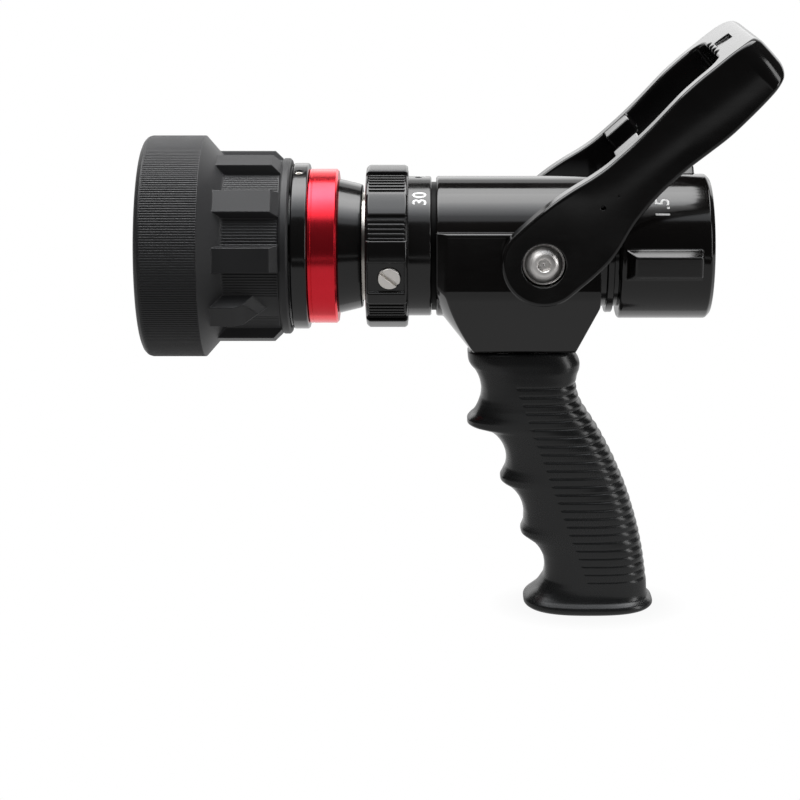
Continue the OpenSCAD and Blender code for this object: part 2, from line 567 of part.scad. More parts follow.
// frame of the grip bolt: origin at the keel, Z along the bolt
module at_bolt() translate(bolt_top) rotate([0, grip_tilt, 0]) children();
function bulge(value) = sign(value) * pow(abs(value), 2 / grip_exponent);
module pistol_grip() color(black(0.05)) difference() {
  polyhedron(
    points = [for (s = grip_sections) for (j = [0:grip_sides - 1])
      let (turn = 360 * j / grip_sides)
      [(s[1] + s[2]) / 2 - (s[2] - s[1]) / 2 * bulge(cos(turn)),
        s[3] * grip_w / grip_drawn_w * bulge(sin(turn)), s[0]]],
    faces = solid_faces(len(grip_sections) - 1, grip_sides));
  at_bolt() {
    translate([0, 0, -140]) cylinder(h = 150, r = bolt_r + 0.4, $fn = 32);
    translate([0, 0, -140]) cylinder(h = 62, r = 8.2, $fn = 48);
  }
}
module grip_bolt() color(steel(0.7)) at_bolt() difference() {
  union() {
    translate([0, 0, -80]) cylinder(h = 94, r = bolt_r, $fn = 32);
    translate([0, 0, -87.8]) cylinder(h = 8.1, r = 6.5, $fn = 48);
  }
  translate([0, 0, -88]) hex_socket(3.5, 5);
}
module grip_washer() color(steel(0.7)) at_bolt() translate([0, 0, -79.65]) difference() {
  cylinder(h = 1.6, r = 8, $fn = 48);
  translate([0, 0, -1]) cylinder(h = 4, r = bolt_r + 0.1, $fn = 32);
}
module grip_plug() color(black(0.05)) intersection() {
  at_bolt() translate([0, 0, -134]) cylinder(h = 14, r = 8.15, $fn = 48);
  translate([-90, -30, -174.6]) cube([90, 60, 30]);
}

swivel_coupling();
hose_gasket();
inlet_screen();
race_ball_set();
ball_plug();
inlet_tailpiece();
tailpiece_oring();
valve_body();
rear_seat();
front_seat();
seat_oring();
valve_ball();
trunnions();
trunnion_orings();
thrust_washers();
bail_handle();
bail_screws();
stem_tube();
stem_orings();
snap_ring();
spider_plate();
baffle_head();
baffle_screw();
flow_ring();
detent_plug();
detent_spring();
detent_ball();
drive_pins();
metering_sleeve();
guide_ring();
pattern_sleeve();
rubber_bumper();
lock_ring();
set_screw();
cam_pin();
index_ring();
rear_skirt();
pistol_grip();
grip_bolt();
grip_washer();
grip_plug();
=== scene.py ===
"""Looks of the fog nozzle: fine meshes, materials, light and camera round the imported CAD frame."""
import math

import bpy
import bmesh
import numpy as np
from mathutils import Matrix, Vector


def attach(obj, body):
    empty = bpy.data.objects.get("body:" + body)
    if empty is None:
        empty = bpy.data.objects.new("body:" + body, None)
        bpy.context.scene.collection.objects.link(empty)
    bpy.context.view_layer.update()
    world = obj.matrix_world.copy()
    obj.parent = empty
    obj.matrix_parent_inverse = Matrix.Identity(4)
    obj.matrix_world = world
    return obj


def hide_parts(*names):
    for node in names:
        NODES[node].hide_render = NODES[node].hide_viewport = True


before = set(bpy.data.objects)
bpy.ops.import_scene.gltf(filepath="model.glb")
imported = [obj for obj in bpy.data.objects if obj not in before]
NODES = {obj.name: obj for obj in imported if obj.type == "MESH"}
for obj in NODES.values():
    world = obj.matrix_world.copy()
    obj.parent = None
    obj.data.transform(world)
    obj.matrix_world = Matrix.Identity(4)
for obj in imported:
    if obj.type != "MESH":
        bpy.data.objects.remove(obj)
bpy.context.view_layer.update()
K = 1.0
SC = bpy.context.scene.collection
MM = 0.001

PIV = -78.1
CHEEK = 34.3
DET_PHI, DET_X = math.radians(-12.8), -147.4
CAM_PHI, CAM_X = math.radians(73), -189.0
TILT = math.radians(-14.6)


# ------------------------------------------------------------------ mesh making
def build(name, V, faces, N=None):
    """Mesh object from millimetre vertices, faces as a list of index arrays (one array per face size), optional vertex normals."""
    V = np.asarray(V, float)
    faces = [np.asarray(f, np.int32) for f in faces if len(f)]
    tri = np.concatenate([np.concatenate([f[:, [0, 1, 2]], f[:, [0, 2, 3]]]) if f.shape[1] == 4 else f for f in faces])
    a, b, c = V[tri[:, 0]], V[tri[:, 1]], V[tri[:, 2]]
    if np.einsum("ij,ij->i", a, np.cross(b, c)).sum() < 0:
        faces = [f[:, ::-1] for f in faces]
    me = bpy.data.meshes.new(name)
    me.vertices.add(len(V))
    me.vertices.foreach_set("co", (V * MM).astype(np.float32).ravel())
    me.loops.add(sum(f.size for f in faces))
    me.loops.foreach_set("vertex_index", np.concatenate([np.ascontiguousarray(f).ravel() for f in faces]))
    me.polygons.add(sum(len(f) for f in faces))
    sizes = np.concatenate([np.full(len(f), f.shape[1], np.int32) for f in faces])
    me.polygons.foreach_set("loop_start", np.concatenate([[0], np.cumsum(sizes)[:-1]]).astype(np.int32))
    me.polygons.foreach_set("use_smooth", np.ones(len(sizes), bool))
    me.update(calc_edges=True)
    me.validate()
    if N is not None:
        N = np.asarray(N, float)
        N = N / np.maximum(np.linalg.norm(N, axis=1, keepdims=True), 1e-9)
        me.normals_split_custom_set_from_vertices(N.astype(np.float32))
    ob = bpy.data.objects.new(name, me)
    SC.objects.link(ob)
    return ob


def put(ob, body, mat, slot, *replaced):
    ob.data.materials.clear()
    ob.data.materials.append(mat)
    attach(ob, body)
    if replaced:
        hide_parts(*replaced)
    return ob


def grid_faces(nr, nc, wrap_r=True, wrap_c=True):
    i = np.arange(nr if wrap_r else nr - 1)
    j = np.arange(nc if wrap_c else nc - 1)
    I, J = np.meshgrid(i, j, indexing="ij")
    I2, J2 = (I + 1) % nr, (J + 1) % nc
    return np.stack([I * nc + J, I2 * nc + J, I2 * nc + J2, I * nc + J2], -1).reshape(-1, 4)


def fil(pts, closed=True, default=0.2, seg=5):
    """Profile of [r, x, fillet radius] -> points and outward-agnostic normals, every corner rounded."""
    P = [np.array(p[:2], float) for p in pts]
    R = [p[2] if len(p) > 2 else default for p in pts]
    n = len(P)
    out = []
    for i in range(n):
        if not closed and i in (0, n - 1):
            d = (P[1] - P[0]) if i == 0 else (P[-1] - P[-2])
            d = d / np.linalg.norm(d)
            out.append((P[i][0], P[i][1], d[1], -d[0]))
            continue
        a, b, c = P[i - 1], P[i], P[(i + 1) % n]
        u, v = a - b, c - b
        lu, lv = np.linalg.norm(u), np.linalg.norm(v)
        u, v = u / lu, v / lv
        ang = math.acos(max(-1, min(1, float(u @ v))))
        if ang > math.radians(179):
            d = v
            out.append((b[0], b[1], d[1], -d[0]))
            continue
        tl = min(R[i] / math.tan(ang / 2), 0.46 * lu, 0.46 * lv)
        r = tl * math.tan(ang / 2)
        t0, t1 = b + u * tl, b + v * tl
        cen = b + (u + v) / np.linalg.norm(u + v) * (r / math.sin(ang / 2))
        turn = u[0] * v[1] - u[1] * v[0]
        sgn = 1.0
        n0 = np.array([-u[1], u[0]])
        sgn = 1.0 if (t0 - cen) @ n0 > 0 else -1.0
        a0 = math.atan2(*(t0 - cen)[::-1])
        a1 = math.atan2(*(t1 - cen)[::-1])
        da = (a1 - a0 + math.pi) % (2 * math.pi) - math.pi
        k = max(2, int(math.ceil(abs(da) / (math.pi / 2) * seg)))
        for j in range(k + 1):
            w = a0 + da * j / k
            e = np.array([math.cos(w), math.sin(w)])
            p = cen + r * e
            out.append((p[0], p[1], sgn * e[0], sgn * e[1]))
    return np.array(out)


def lathe(name, pts, n=288, **kw):
    """Closed profile turned about the waterway."""
    pr = fil(pts, **kw)
    n = int(n / K)
    ph = np.arange(n) * 2 * math.pi / n
    c, s = np.cos(ph), np.sin(ph)
    r, x, nr, nx = [pr[:, k][:, None] for k in range(4)]
    one = np.ones(n)[None, :]
    V = np.stack([x * one, -r * c, r * s], -1).reshape(-1, 3)
    N = np.stack([nx * one, -nr * c, nr * s], -1).reshape(-1, 3)
    # outward: compare with the signed area of the profile
    A = 0.5 * np.sum(pr[:, 0] * np.roll(pr[:, 1], -1) - np.roll(pr[:, 0], -1) * pr[:, 1])
    t = np.roll(pr[:, :2], -1, 0) - np.roll(pr[:, :2], 1, 0)
    o = np.stack([t[:, 1], -t[:, 0]], -1) * (1 if A > 0 else -1)
    flip = np.where((o * pr[:, 2:]).sum(1) < 0, -1.0, 1.0)
    N *= np.repeat(flip, n)[:, None]
    return build(name, V, [grid_faces(len(pr), n)], N)


def grid_normals(P, wrap_r=True):
    """Vertex normals of a closed grid P[row, column, 3]."""
    dc = np.roll(P, -1, 1) - np.roll(P, 1, 1)
    if wrap_r:
        dr = np.roll(P, -1, 0) - np.roll(P, 1, 0)
    else:
        dr = np.gradient(P, axis=0)
    return np.cross(dr, dc)


def orient(P, N):
    """Flip the normals if they point inwards, judged by the divergence theorem."""
    F = grid_faces(P.shape[0], P.shape[1])
    V = P.reshape(-1, 3)
    a, b, c, d = (V[F[:, k]] for k in range(4))
    fn = np.cross(c - a, d - b)
    vol = np.einsum("ij,ij->", (a + b + c + d) / 4, fn)
    n = N.reshape(-1, 3)
    s = np.einsum("ij,ij->", fn, n[F].sum(1))
    return n * (1 if s * vol > 0 else -1)


# ------------------------------------------------------------------ signed distance tools
def rmax(a, b, r):
    return np.minimum(np.maximum(a, b), -r) + np.hypot(np.maximum(a + r, 0), np.maximum(b + r, 0))


def rmin(a, b, r):
    return np.maximum(np.minimum(a, b), r) - np.hypot(np.maximum(r - a, 0), np.maximum(r - b, 0))


def smax(k, a, *rest):
    for b in rest:
        h = np.maximum(k - np.abs(a - b), 0)
        a = np.maximum(a, b) + h * h / (4 * k)
    return a


def smin(k, a, *rest):
    return -smax(k, -a, *[-b for b in rest])


def smooth01(x, a, b):
    t = np.clip((x - a) / (b - a), 0, 1)
    return t * t * (3 - 2 * t)


def ring(r, x, R, x0, x1):
    """Disc-shaped region r<R, x0<x<x1."""
    return np.maximum(np.maximum(r - R, x0 - x), x - x1)


CORN = np.array([[i, j, k] for i in (0, 1) for j in (0, 1) for k in (0, 1)])
EDGES = [(a, b) for a in range(8) for b in range(a + 1, 8) if np.abs(CORN[a] - CORN[b]).sum() == 1]
TETRA = np.array([[1, -1, -1], [-1, -1, 1], [-1, 1, -1], [1, 1, 1]], float)


def gradient(f, p, e):
    g = np.zeros_like(p)
    v = np.zeros(len(p))
    for t in TETRA:
        q = f(p + t * e)
        g += t * q[:, None]
        v += q
    return g / (4 * e), v / 4


def sdf(name, f, lo, hi, h):
    """Surface of f = 0 as an even quad mesh, its vertices pulled onto the surface, with exact normals."""
    h = h * K
    B = 8
    lo, hi = np.array(lo, float) + 0.00137, np.array(hi, float)
    nb = np.ceil((hi - lo) / (h * B)).astype(int)
    bi = np.stack(np.meshgrid(*[np.arange(n) for n in nb], indexing="ij"), -1).reshape(-1, 3)
    bi = bi[np.abs(f(lo + (bi + 0.5) * h * B)) < 0.87 * h * B * 1.25 + 0.2]
    r = np.arange(B + 1)
    g = np.stack(np.meshgrid(r, r, r, indexing="ij"), -1)
    vals = np.empty((len(bi), B + 1, B + 1, B + 1))
    for s in range(0, len(bi), 256):
        p = lo + (bi[s:s + 256, None, None, None, :] * B + g) * h
        vals[s:s + 256] = f(p.reshape(-1, 3)).reshape(p.shape[:-1])
    ins = vals < 0
    sub = [slice(c, B + c) for c in (0, 1)]
    cnt = sum(ins[:, sub[c[0]], sub[c[1]], sub[c[2]]].astype(np.int8) for c in CORN)
    idx = np.argwhere((cnt > 0) & (cnt < 8))
    cv = np.stack([vals[idx[:, 0], idx[:, 1] + c[0], idx[:, 2] + c[1], idx[:, 3] + c[2]] for c in CORN], -1)
    acc, num = np.zeros((len(idx), 3)), np.zeros(len(idx))
    for a, b in EDGES:
        va, vb = cv[:, a], cv[:, b]
        cross = (va < 0) != (vb < 0)
        t = np.where(cross, va / np.where(cross, va - vb, 1), 0)
        acc += np.where(cross[:, None], CORN[a] + t[:, None] * (CORN[b] - CORN[a]), 0)
        num += cross
    cell = bi[idx[:, 0]] * B + idx[:, 1:]
    V = lo + (cell + acc / num[:, None]) * h
    dims = nb * B + 2
    key = ((cell[:, 0] + 1) * dims[1] + cell[:, 1] + 1) * dims[2] + cell[:, 2] + 1
    order = np.argsort(key)
    V, key = V[order], key[order]
    quads = []
    for ax in range(3):
        lo_s = [slice(0, B)] * 3
        hi_s = [slice(0, B)] * 3
        hi_s[ax] = slice(1, B + 1)
        A, Bq = ins[(slice(None), *lo_s)], ins[(slice(None), *hi_s)]
        e = np.argwhere(A != Bq)
        c = bi[e[:, 0]] * B + e[:, 1:]
        u, v = (ax + 1) % 3, (ax + 2) % 3
        q = []
        for du, dv in ((-1, -1), (0, -1), (0, 0), (-1, 0)):
            cc = c.copy()
            cc[:, u] += du
            cc[:, v] += dv
            kk = ((cc[:, 0] + 1) * dims[1] + cc[:, 1] + 1) * dims[2] + cc[:, 2] + 1
            q.append(np.minimum(np.searchsorted(key, kk), len(key) - 1))
        q = np.stack(q, -1)
        inside = A[e[:, 0], e[:, 1], e[:, 2], e[:, 3]]
        quads.append(np.where(inside[:, None], q, q[:, ::-1]))
    F = np.concatenate(quads)
    for _ in range(3):
        gr, v = gradient(f, V, 0.012)
        step = v / np.maximum((gr ** 2).sum(1), 0.25)
        V = V - gr * np.clip(step, -0.45 * h, 0.45 * h)[:, None]
    N, _ = gradient(f, V, 0.05)
    return build(name, V, [F], N)


def polar(p, x0=0.0):
    return np.hypot(p[:, 1], p[:, 2]), np.arctan2(p[:, 2], -p[:, 1])


def local(p, a):
    """(tangential, outward) of points at angle a round the waterway."""
    return p[:, 1] * math.sin(a) + p[:, 2] * math.cos(a), -p[:, 1] * math.cos(a) + p[:, 2] * math.sin(a)


def wrap(a):
    return (a + math.pi) % (2 * math.pi) - math.pi


def pchip(x, y):
    """Shape-preserving cubic through (x, y) as a function."""
    x, y = np.asarray(x, float), np.asarray(y, float)
    if x[0] > x[-1]:
        x, y = x[::-1], y[::-1]
    h, d = np.diff(x), np.diff(y) / np.diff(x)
    m = np.zeros(len(x))
    for i in range(1, len(x) - 1):
        if d[i - 1] * d[i] > 0:
            w1, w2 = 2 * h[i] + h[i - 1], h[i] + 2 * h[i - 1]
            m[i] = (w1 + w2) / (w1 / d[i - 1] + w2 / d[i])
    m[0], m[-1] = d[0], d[-1]

    def f(t):
        t = np.clip(t, x[0], x[-1])
        i = np.clip(np.searchsorted(x, t) - 1, 0, len(h) - 1)
        s = (t - x[i]) / h[i]
        return (y[i] * (1 + 2 * s) * (1 - s) ** 2 + m[i] * h[i] * s * (1 - s) ** 2
                + y[i + 1] * s * s * (3 - 2 * s) + m[i + 1] * h[i] * s * s * (s - 1))
    return f


# ------------------------------------------------------------------ materials
class Nodes:
    def __init__(self, name):
        self.m = bpy.data.materials.new(name)
        self.m.use_nodes = True
        self.t = self.m.node_tree
        self.t.nodes.clear()
        self.out = self.t.nodes.new("ShaderNodeOutputMaterial")
        self.obj = self.t.nodes.new("ShaderNodeTexCoord").outputs["Object"]
        self.xyz = self.new("ShaderNodeSeparateXYZ", Vector=self.obj)

    def new(self, kind, **ins):
        props = {k[1:]: v for k, v in ins.items() if k.startswith("_")}
        n = self.t.nodes.new(kind)
        for k, v in props.items():
            setattr(n, k, v)
        for k, v in ins.items():
            if k.startswith("_"):
                continue
            sock = n.inputs[int(k[1:])] if k[0] == "i" and k[1:].isdigit() else n.inputs[k.replace("_", " ")]
            if isinstance(v, bpy.types.NodeSocket):
                self.t.links.new(v, sock)
            else:
                sock.default_value = v
        return n

    def math(self, op, a, b=0.0, c=0.0):
        return self.new("ShaderNodeMath", _operation=op, i0=a, i1=b, i2=c).outputs[0]

    def noise(self, scale, detail=2.0, rough=0.5, vec=None):
        return self.new("ShaderNodeTexNoise", Scale=scale, Detail=detail, Roughness=rough, Vector=vec or self.obj).outputs[0]

    def noise1(self, w, scale, detail=2.0):
        return self.new("ShaderNodeTexNoise", _noise_dimensions="1D", W=w, Scale=scale, Detail=detail).outputs[0]

    def range(self, v, a, b, c, d):
        return self.new("ShaderNodeMapRange", i0=v, i1=a, i2=b, i3=c, i4=d).outputs[0]

    def ramp(self, v, stops):
        n = self.new("ShaderNodeValToRGB", Fac=v)
        e = n.color_ramp.elements
        while len(e) < len(stops):
            e.new(0.5)
        for k, (p, c) in enumerate(stops):
            e[k].position = p
            e[k].color = (*c, 1)
        return n.outputs[0]

    def mix(self, f, a, b):
        return self.new("ShaderNodeMix", _data_type="RGBA", i0=f, i6=a, i7=b).outputs[2]

    def bump(self, h, strength, dist_mm, prev=None):
        kw = {"Normal": prev} if prev is not None else {}
        return self.new("ShaderNodeBump", Height=h, Strength=strength, Distance=dist_mm * MM, **kw).outputs[0]

    def radius(self, axis="x", cx=0.0, cz=0.0):
        """Distance from an axis, in metres."""
        s = self.xyz.outputs
        if axis == "x":
            a, b = s[1], s[2]
        else:
            a, b = self.math("SUBTRACT", s[0], cx), self.math("SUBTRACT", s[2], cz)
        return self.math("SQRT", self.math("ADD", self.math("MULTIPLY", a, a), self.math("MULTIPLY", b, b)))

    def principled(self, **kw):
        p = self.new("ShaderNodeBsdfPrincipled", **kw)
        self.t.links.new(p.outputs[0], self.out.inputs[0])
        return self.m


def rgb(r, g, b):
    return (r, g, b, 1)


def anodised(name, base, rough=0.13, turned=0.0, ior=1.5, rv=0.05, wave=0.0):
    """Glossy black hard-anodised or coated metal."""
    n = Nodes(name)
    cloud = n.noise(38, 3, 0.55)
    fine = n.noise(900, 2, 0.6)
    smear = n.new("ShaderNodeMapping", Vector=n.obj, Scale=(60, 260, 260)).outputs[0]
    sm = n.noise(1.0, 3, 0.6, smear)
    r = n.math("ADD", n.range(cloud, 0.3, 0.7, rough - rv * 0.5, rough + rv * 0.5), n.range(sm, 0.45, 0.75, 0.0, rv * 0.6))
    col = n.mix(n.range(cloud, 0.35, 0.65, 0, 1), rgb(*base), rgb(*[c * 1.5 for c in base]))
    nor = n.bump(fine, 0.35, 0.004)
    if wave:
        nor = n.bump(n.noise(70, 1, 0.4), wave, 0.25, nor)
    if turned:
        line = n.math("ADD", n.noise1(n.xyz.outputs[0], 5200, 2), n.math("MULTIPLY", n.noise1(n.xyz.outputs[0], 1300, 1), 0.8))
        nor = n.bump(line, turned, 0.006, nor)
    return n.principled(Base_Color=col, Roughness=r, IOR=ior, Normal=nor)


def metal(name, a, b, rough, turned=0.0, axis="x", cx=0.0, coat=0.0, rings=0.0, cloud_scale=60, cz=0.0):
    """Bare metal, turned about an axis, with slight stain and fine tool lines."""
    n = Nodes(name)
    cloud = n.noise(cloud_scale, 4, 0.6)
    spots = n.noise(650, 3, 0.7)
    col = n.mix(n.range(cloud, 0.3, 0.7, 0, 1), rgb(*a), rgb(*b))
    r = n.math("ADD", n.range(cloud, 0.3, 0.7, rough * 0.8, rough * 1.25), n.range(spots, 0.5, 0.8, 0, 0.06))
    nor = n.bump(spots, 0.25, 0.004)
    if turned:
        nor = n.bump(n.math("ADD", n.noise1(n.xyz.outputs[0], 4200, 3), n.noise1(n.xyz.outputs[0], 900, 1)), turned, 0.01, nor)
    if rings:
        rad = n.radius("y", cx, cz)
        nor = n.bump(n.noise1(rad, 4800, 3), rings, 0.012, nor)
        r = n.math("ADD", r, n.range(n.noise1(rad, 2500, 2), 0.35, 0.7, -0.04, 0.08))
    return n.principled(Base_Color=col, Metallic=1.0, Roughness=r, Normal=nor, Coat_Weight=coat, Coat_Roughness=0.1)


def polymer(name, a, b, rough, grain=0.3, grain_scale=1400, cloud=30, dist=0.02, ior=1.48, rv=0.08, sheen=0.0):
    """Moulded plastic or rubber with a fine skin."""
    n = Nodes(name)
    big = n.noise(cloud, 3, 0.55)
    mid = n.noise(grain_scale, 3, 0.6)
    fine = n.new("ShaderNodeTexVoronoi", Vector=n.obj, Scale=grain_scale * 1.3).outputs[0]
    col = n.mix(n.range(big, 0.3, 0.7, 0, 1), rgb(*a), rgb(*b))
    r = n.math("ADD", n.range(big, 0.3, 0.7, rough - rv * 0.5, rough + rv * 0.5), n.range(mid, 0.3, 0.7, -rv * 0.4, rv * 0.4))
    nor = n.bump(mid, grain, dist)
    nor = n.bump(fine, grain * 0.6, dist * 0.6, nor)
    return n.principled(Base_Color=col, Roughness=r, IOR=ior, Normal=nor, Sheen_Weight=sheen)


M = {}
M["body_black"] = anodised("body_black", (0.0030, 0.0026, 0.0025), 0.10, ior=1.52, rv=0.035, wave=0.02)
M["coupling_black"] = anodised("coupling_black", (0.0032, 0.0028, 0.0027), 0.12, turned=0.12, ior=1.52, rv=0.04)
M["bail_black"] = anodised("bail_black", (0.0034, 0.0032, 0.0032), 0.13, ior=1.5, rv=0.05, wave=0.05)
M["ring_black"] = anodised("ring_black", (0.0036, 0.0034, 0.0034), 0.13, turned=0.30, ior=1.55, rv=0.06)
M["bumper_rubber"] = polymer("bumper_rubber", (0.0115, 0.0115, 0.0125), (0.016, 0.016, 0.0172), 0.50, 0.35, 1500, 26, 0.02, 1.5, 0.08)
M["grip_plastic"] = polymer("grip_plastic", (0.013, 0.0135, 0.0138), (0.017, 0.0175, 0.018), 0.27, 0.14, 2200, 40, 0.008, 1.49, 0.05)
M["seal_rubber"] = polymer("seal_rubber", (0.012, 0.012, 0.013), (0.02, 0.02, 0.021), 0.45, 0.2, 1800, 60, 0.01)
M["seat_plastic"] = polymer("seat_plastic", (0.74, 0.73, 0.70), (0.80, 0.79, 0.76), 0.4, 0.12, 1600, 60, 0.008, 1.45)
M["stainless"] = metal("stainless", (0.82, 0.80, 0.78), (0.90, 0.88, 0.86), 0.38, rings=0.18, cx=PIV * MM, cloud_scale=90)
M["polished_steel"] = metal("polished_steel", (0.66, 0.66, 0.67), (0.74, 0.74, 0.75), 0.16, turned=0.05)
M["bare_alloy"] = metal("bare_alloy", (0.56, 0.53, 0.49), (0.64, 0.61, 0.57), 0.30, turned=0.35)
M["brass"] = metal("brass", (0.66, 0.47, 0.20), (0.75, 0.56, 0.27), 0.28, turned=0.2)
M["plug_steel"] = metal("plug_steel", (0.86, 0.83, 0.79), (0.94, 0.91, 0.87), 0.42, rings=0.10, cx=DET_X * MM, cloud_scale=160)


def red_ring():
    n = Nodes("ring_red")
    cloud = n.noise(45, 3, 0.55)
    x = n.xyz.outputs[0]
    line = n.math("ADD", n.noise1(x, 5200, 2), n.math("MULTIPLY", n.noise1(x, 1200, 1), 0.9))
    col = n.mix(n.range(cloud, 0.3, 0.7, 0, 1), rgb(0.88, 0.024, 0.041), rgb(0.96, 0.032, 0.053))
    r = n.range(n.noise1(x, 3000, 2), 0.3, 0.7, 0.16, 0.26)
    nor = n.bump(line, 0.32, 0.006)
    return n.principled(Base_Color=col, Metallic=0.92, Roughness=r, Normal=nor, Coat_Weight=0.08, Coat_Roughness=0.12)


M["ring_red"] = red_ring()


def stem_metal():
    """Bare turned alloy; the flange that lies in the gap ahead of the body carries painted shade: coloured black,
    rougher and barely reflecting, as the shade of that gap.
    """
    n = Nodes("stem_alloy")
    x = n.xyz.outputs[0]
    cloud = n.noise(60, 4, 0.6)
    col = n.mix(n.range(cloud, 0.3, 0.7, 0, 1), rgb(0.56, 0.53, 0.49), rgb(0.64, 0.61, 0.57))
    nor = n.bump(n.math("ADD", n.noise1(x, 4200, 3), n.noise1(x, 900, 1)), 0.35, 0.01)
    # painted shade: ahead of x = -129.2 mm, in the gap between flow ring and body, the stem is coloured black, with no
    # metal and little reflection
    black = n.math("GREATER_THAN", x, -0.1292)
    col = n.mix(black, col, rgb(0.0036, 0.0034, 0.0034))
    return n.principled(Base_Color=col, Metallic=n.math("SUBTRACT", 1.0, black), Roughness=n.math("ADD", n.range(cloud, 0.3, 0.7, 0.22, 0.34), n.math("MULTIPLY", black, 0.15)), Specular_IOR_Level=n.math("SUBTRACT", 0.5, n.math("MULTIPLY", black, 0.42)), Normal=nor)


M["stem_alloy"] = stem_metal()


def white_mark():
    n = Nodes("white_mark")
    v = n.noise(3000, 3, 0.6)
    col = n.mix(n.range(v, 0.35, 0.75, 0, 1), rgb(0.80, 0.80, 0.80), rgb(0.60, 0.60, 0.60))
    return n.principled(Base_Color=col, Roughness=n.range(v, 0.3, 0.7, 0.35, 0.55), Normal=n.bump(v, 0.3, 0.01))


M["white_mark"] = white_mark()

# ------------------------------------------------------------------ inlet swivel
def f_swivel(p):
    x = p[:, 0]
    r, ph = polar(p)
    s2 = math.sqrt(2)
    d = smax(0.5, r - 33.5, x, -42.6 - x, (r + x - 31.5) / s2, (r - x - 75.3) / s2)
    k = np.round((ph - math.radians(-3.6)) / (2 * math.pi / 3))
    a = ph - math.radians(-3.6) - k * 2 * math.pi / 3
    t, nn = np.abs(r * np.sin(a)), r * np.cos(a)
    lug = smax(0.7, nn - 38.6, (6.3 * (t - 4.7) + 2.5 * (nn - 38.6)) / 6.778, (-5.7 * (x + 40.8) + 4.4 * (nn - 32.9)) / 7.2,
               x + 6, (x + nn - 31.6) / s2)
    lug = np.maximum(lug, 24 - nn)
    d = smin(0.8, d, lug)
    cut = np.minimum(ring(r, x, 25.5, -20.5, -15.9), ring(r, x, 23.9, -16.0, 3))
    cut = np.minimum(cut, ring(r, x, 27.46, -46, -20.4))
    phs = (x + 3.6 + 1.26) % 2.52 - 1.26
    th = np.maximum((r - 25.3 + 1.391 * np.abs(phs)) / 1.713, np.maximum(-14.94 - x, x + 2.34))
    cut = np.minimum(cut, th)
    cut = np.minimum(cut, (r - 25.4 - x * 0 + (-x - 1.5) * 0.0 + np.maximum(0, -x) * 1.0) / s2)   # lead-in chamfer
    cut = np.minimum(cut, np.hypot(r - 27.45, x + 36.4) - 2.45)
    cut = np.minimum(cut, np.maximum(np.hypot(x + 36.4, p[:, 1]) - 3.55, p[:, 2] + 27))
    return smax(0.25, d, -cut)


put(sdf("swivel_coupling_skin", f_swivel, (-43.2, -39.5, -39.5), (0.6, 39.5, 39.5), 0.42), "swivel", M["coupling_black"], "coupling_black", "swivel_coupling")


def f_plug(p):
    r = np.hypot(p[:, 0] + 36.4, p[:, 1])
    z = -p[:, 2]
    d = smax(0.5, r - 3.45, z - 33.3, 30 - z)
    return smax(0.15, d, -np.maximum(np.abs(p[:, 0] + 36.4) - 0.45, 32.5 - z))


put(sdf("ball_plug_skin", f_plug, (-40.2, -3.8, -33.6), (-32.6, 3.8, -29.6), 0.2), "swivel", M["polished_steel"], "stainless", "ball_plug")

put(lathe("inlet_tailpiece_skin", [
    [19, -57], [26.6, -57], [27, -56.5], [27, -51.4, 0.3], [28, -51.4], [28, -48.3, 0.35], [30.5, -48.3, 0.45], [30.8, -48], [30.8, -45.5], [30.5, -45.2, 0.45],
    [28, -45.2, 0.35], [28, -42.9], [27.4, -42.9], [27.4, -38.85, 0.05]]
    + [[27.45 - 2.45 * math.sin(t), -36.4 - 2.45 * math.cos(t), 0.01] for t in np.radians(np.arange(8, 180, 16))]
    + [[27.4, -33.95, 0.05], [27.4, -29.3, 0.1], [24.9, -29.3, 0.1], [24.9, -25.7, 0.1], [27.4, -25.7, 0.1], [27.4, -21], [26.9, -20.5], [20.6, -20.5], [19, -22.5]]),
    "nozzle", M["coupling_black"], "body_black", "inlet_tailpiece")


# ------------------------------------------------------------------ valve body
def f_body(p):
    x, y, z = p[:, 0], np.abs(p[:, 1]), p[:, 2]
    r, ph = polar(p)
    s2 = math.sqrt(2)
    cyl = smax(0.5, r - 32.5, -126.3 - x, x + 51.4, (r - x - 158.1) / s2, (r + x + 19.5) / s2)
    prism = smax(0.5, z - 12.2, (1.0 * (y - 33.4) + 0.9 * (z - 12.2)) / 1.3454, y - CHEEK,
                 (2.2 * (y - 34.3) - 0.7 * (z + 15.6)) / 2.3087, (29.6 * (y - 33.6) - 19.1 * (z + 17.8)) / 35.227,
                 (0.6 * (y - 14.5) - 1.0 * (z + 47.4)) / 1.1662, -48 - z)
    c, s = math.cos(math.radians(37.9)), math.sin(math.radians(37.9))
    nose = np.hypot((x + 126.3) * c + (z + 28.2) * s - 60, p[:, 1]) - 60
    bevel = (5.7 * (y - 32.3) - 2.1 * (x + 126.9)) / 6.075
    side = smax(0.5, -126.3 - x, (-19.2 * (x + 126.3) - 14.9 * (z + 28.8)) / 24.30, (24.6 * (x + 51.8) - 9.9 * (z + 23.4)) / 26.52, x + 51.6, nose, bevel)
    keel = smax(0.5, prism, side)
    d = np.minimum(cyl, keel)
    cut = np.minimum(ring(r, x, 22.55, -130, -104.2), ring(r, x, 19, -105, -57))
    cut = np.minimum(cut, ring(r, x, 26.2, -101, -57))
    cut = np.minimum(cut, ring(r, x, 27.04, -57.01, -50))
    cut = np.minimum(cut, np.hypot(x - PIV, z) - 8.03)
    bx, bz = x + 86, z + 48
    u = np.cos(TILT) * bx - np.sin(TILT) * bz
    w = np.sin(TILT) * bx + np.cos(TILT) * bz
    cut = np.minimum(cut, np.maximum(np.hypot(u, p[:, 1]) - 4.02, w - 16))
    return smax(0.3, d, -cut)


put(sdf("valve_body_skin", f_body, (-127.2, -35.2, -48.9), (-50.8, 35.2, 33.4), 0.46), "nozzle", M["body_black"], "body_black", "valve_body")

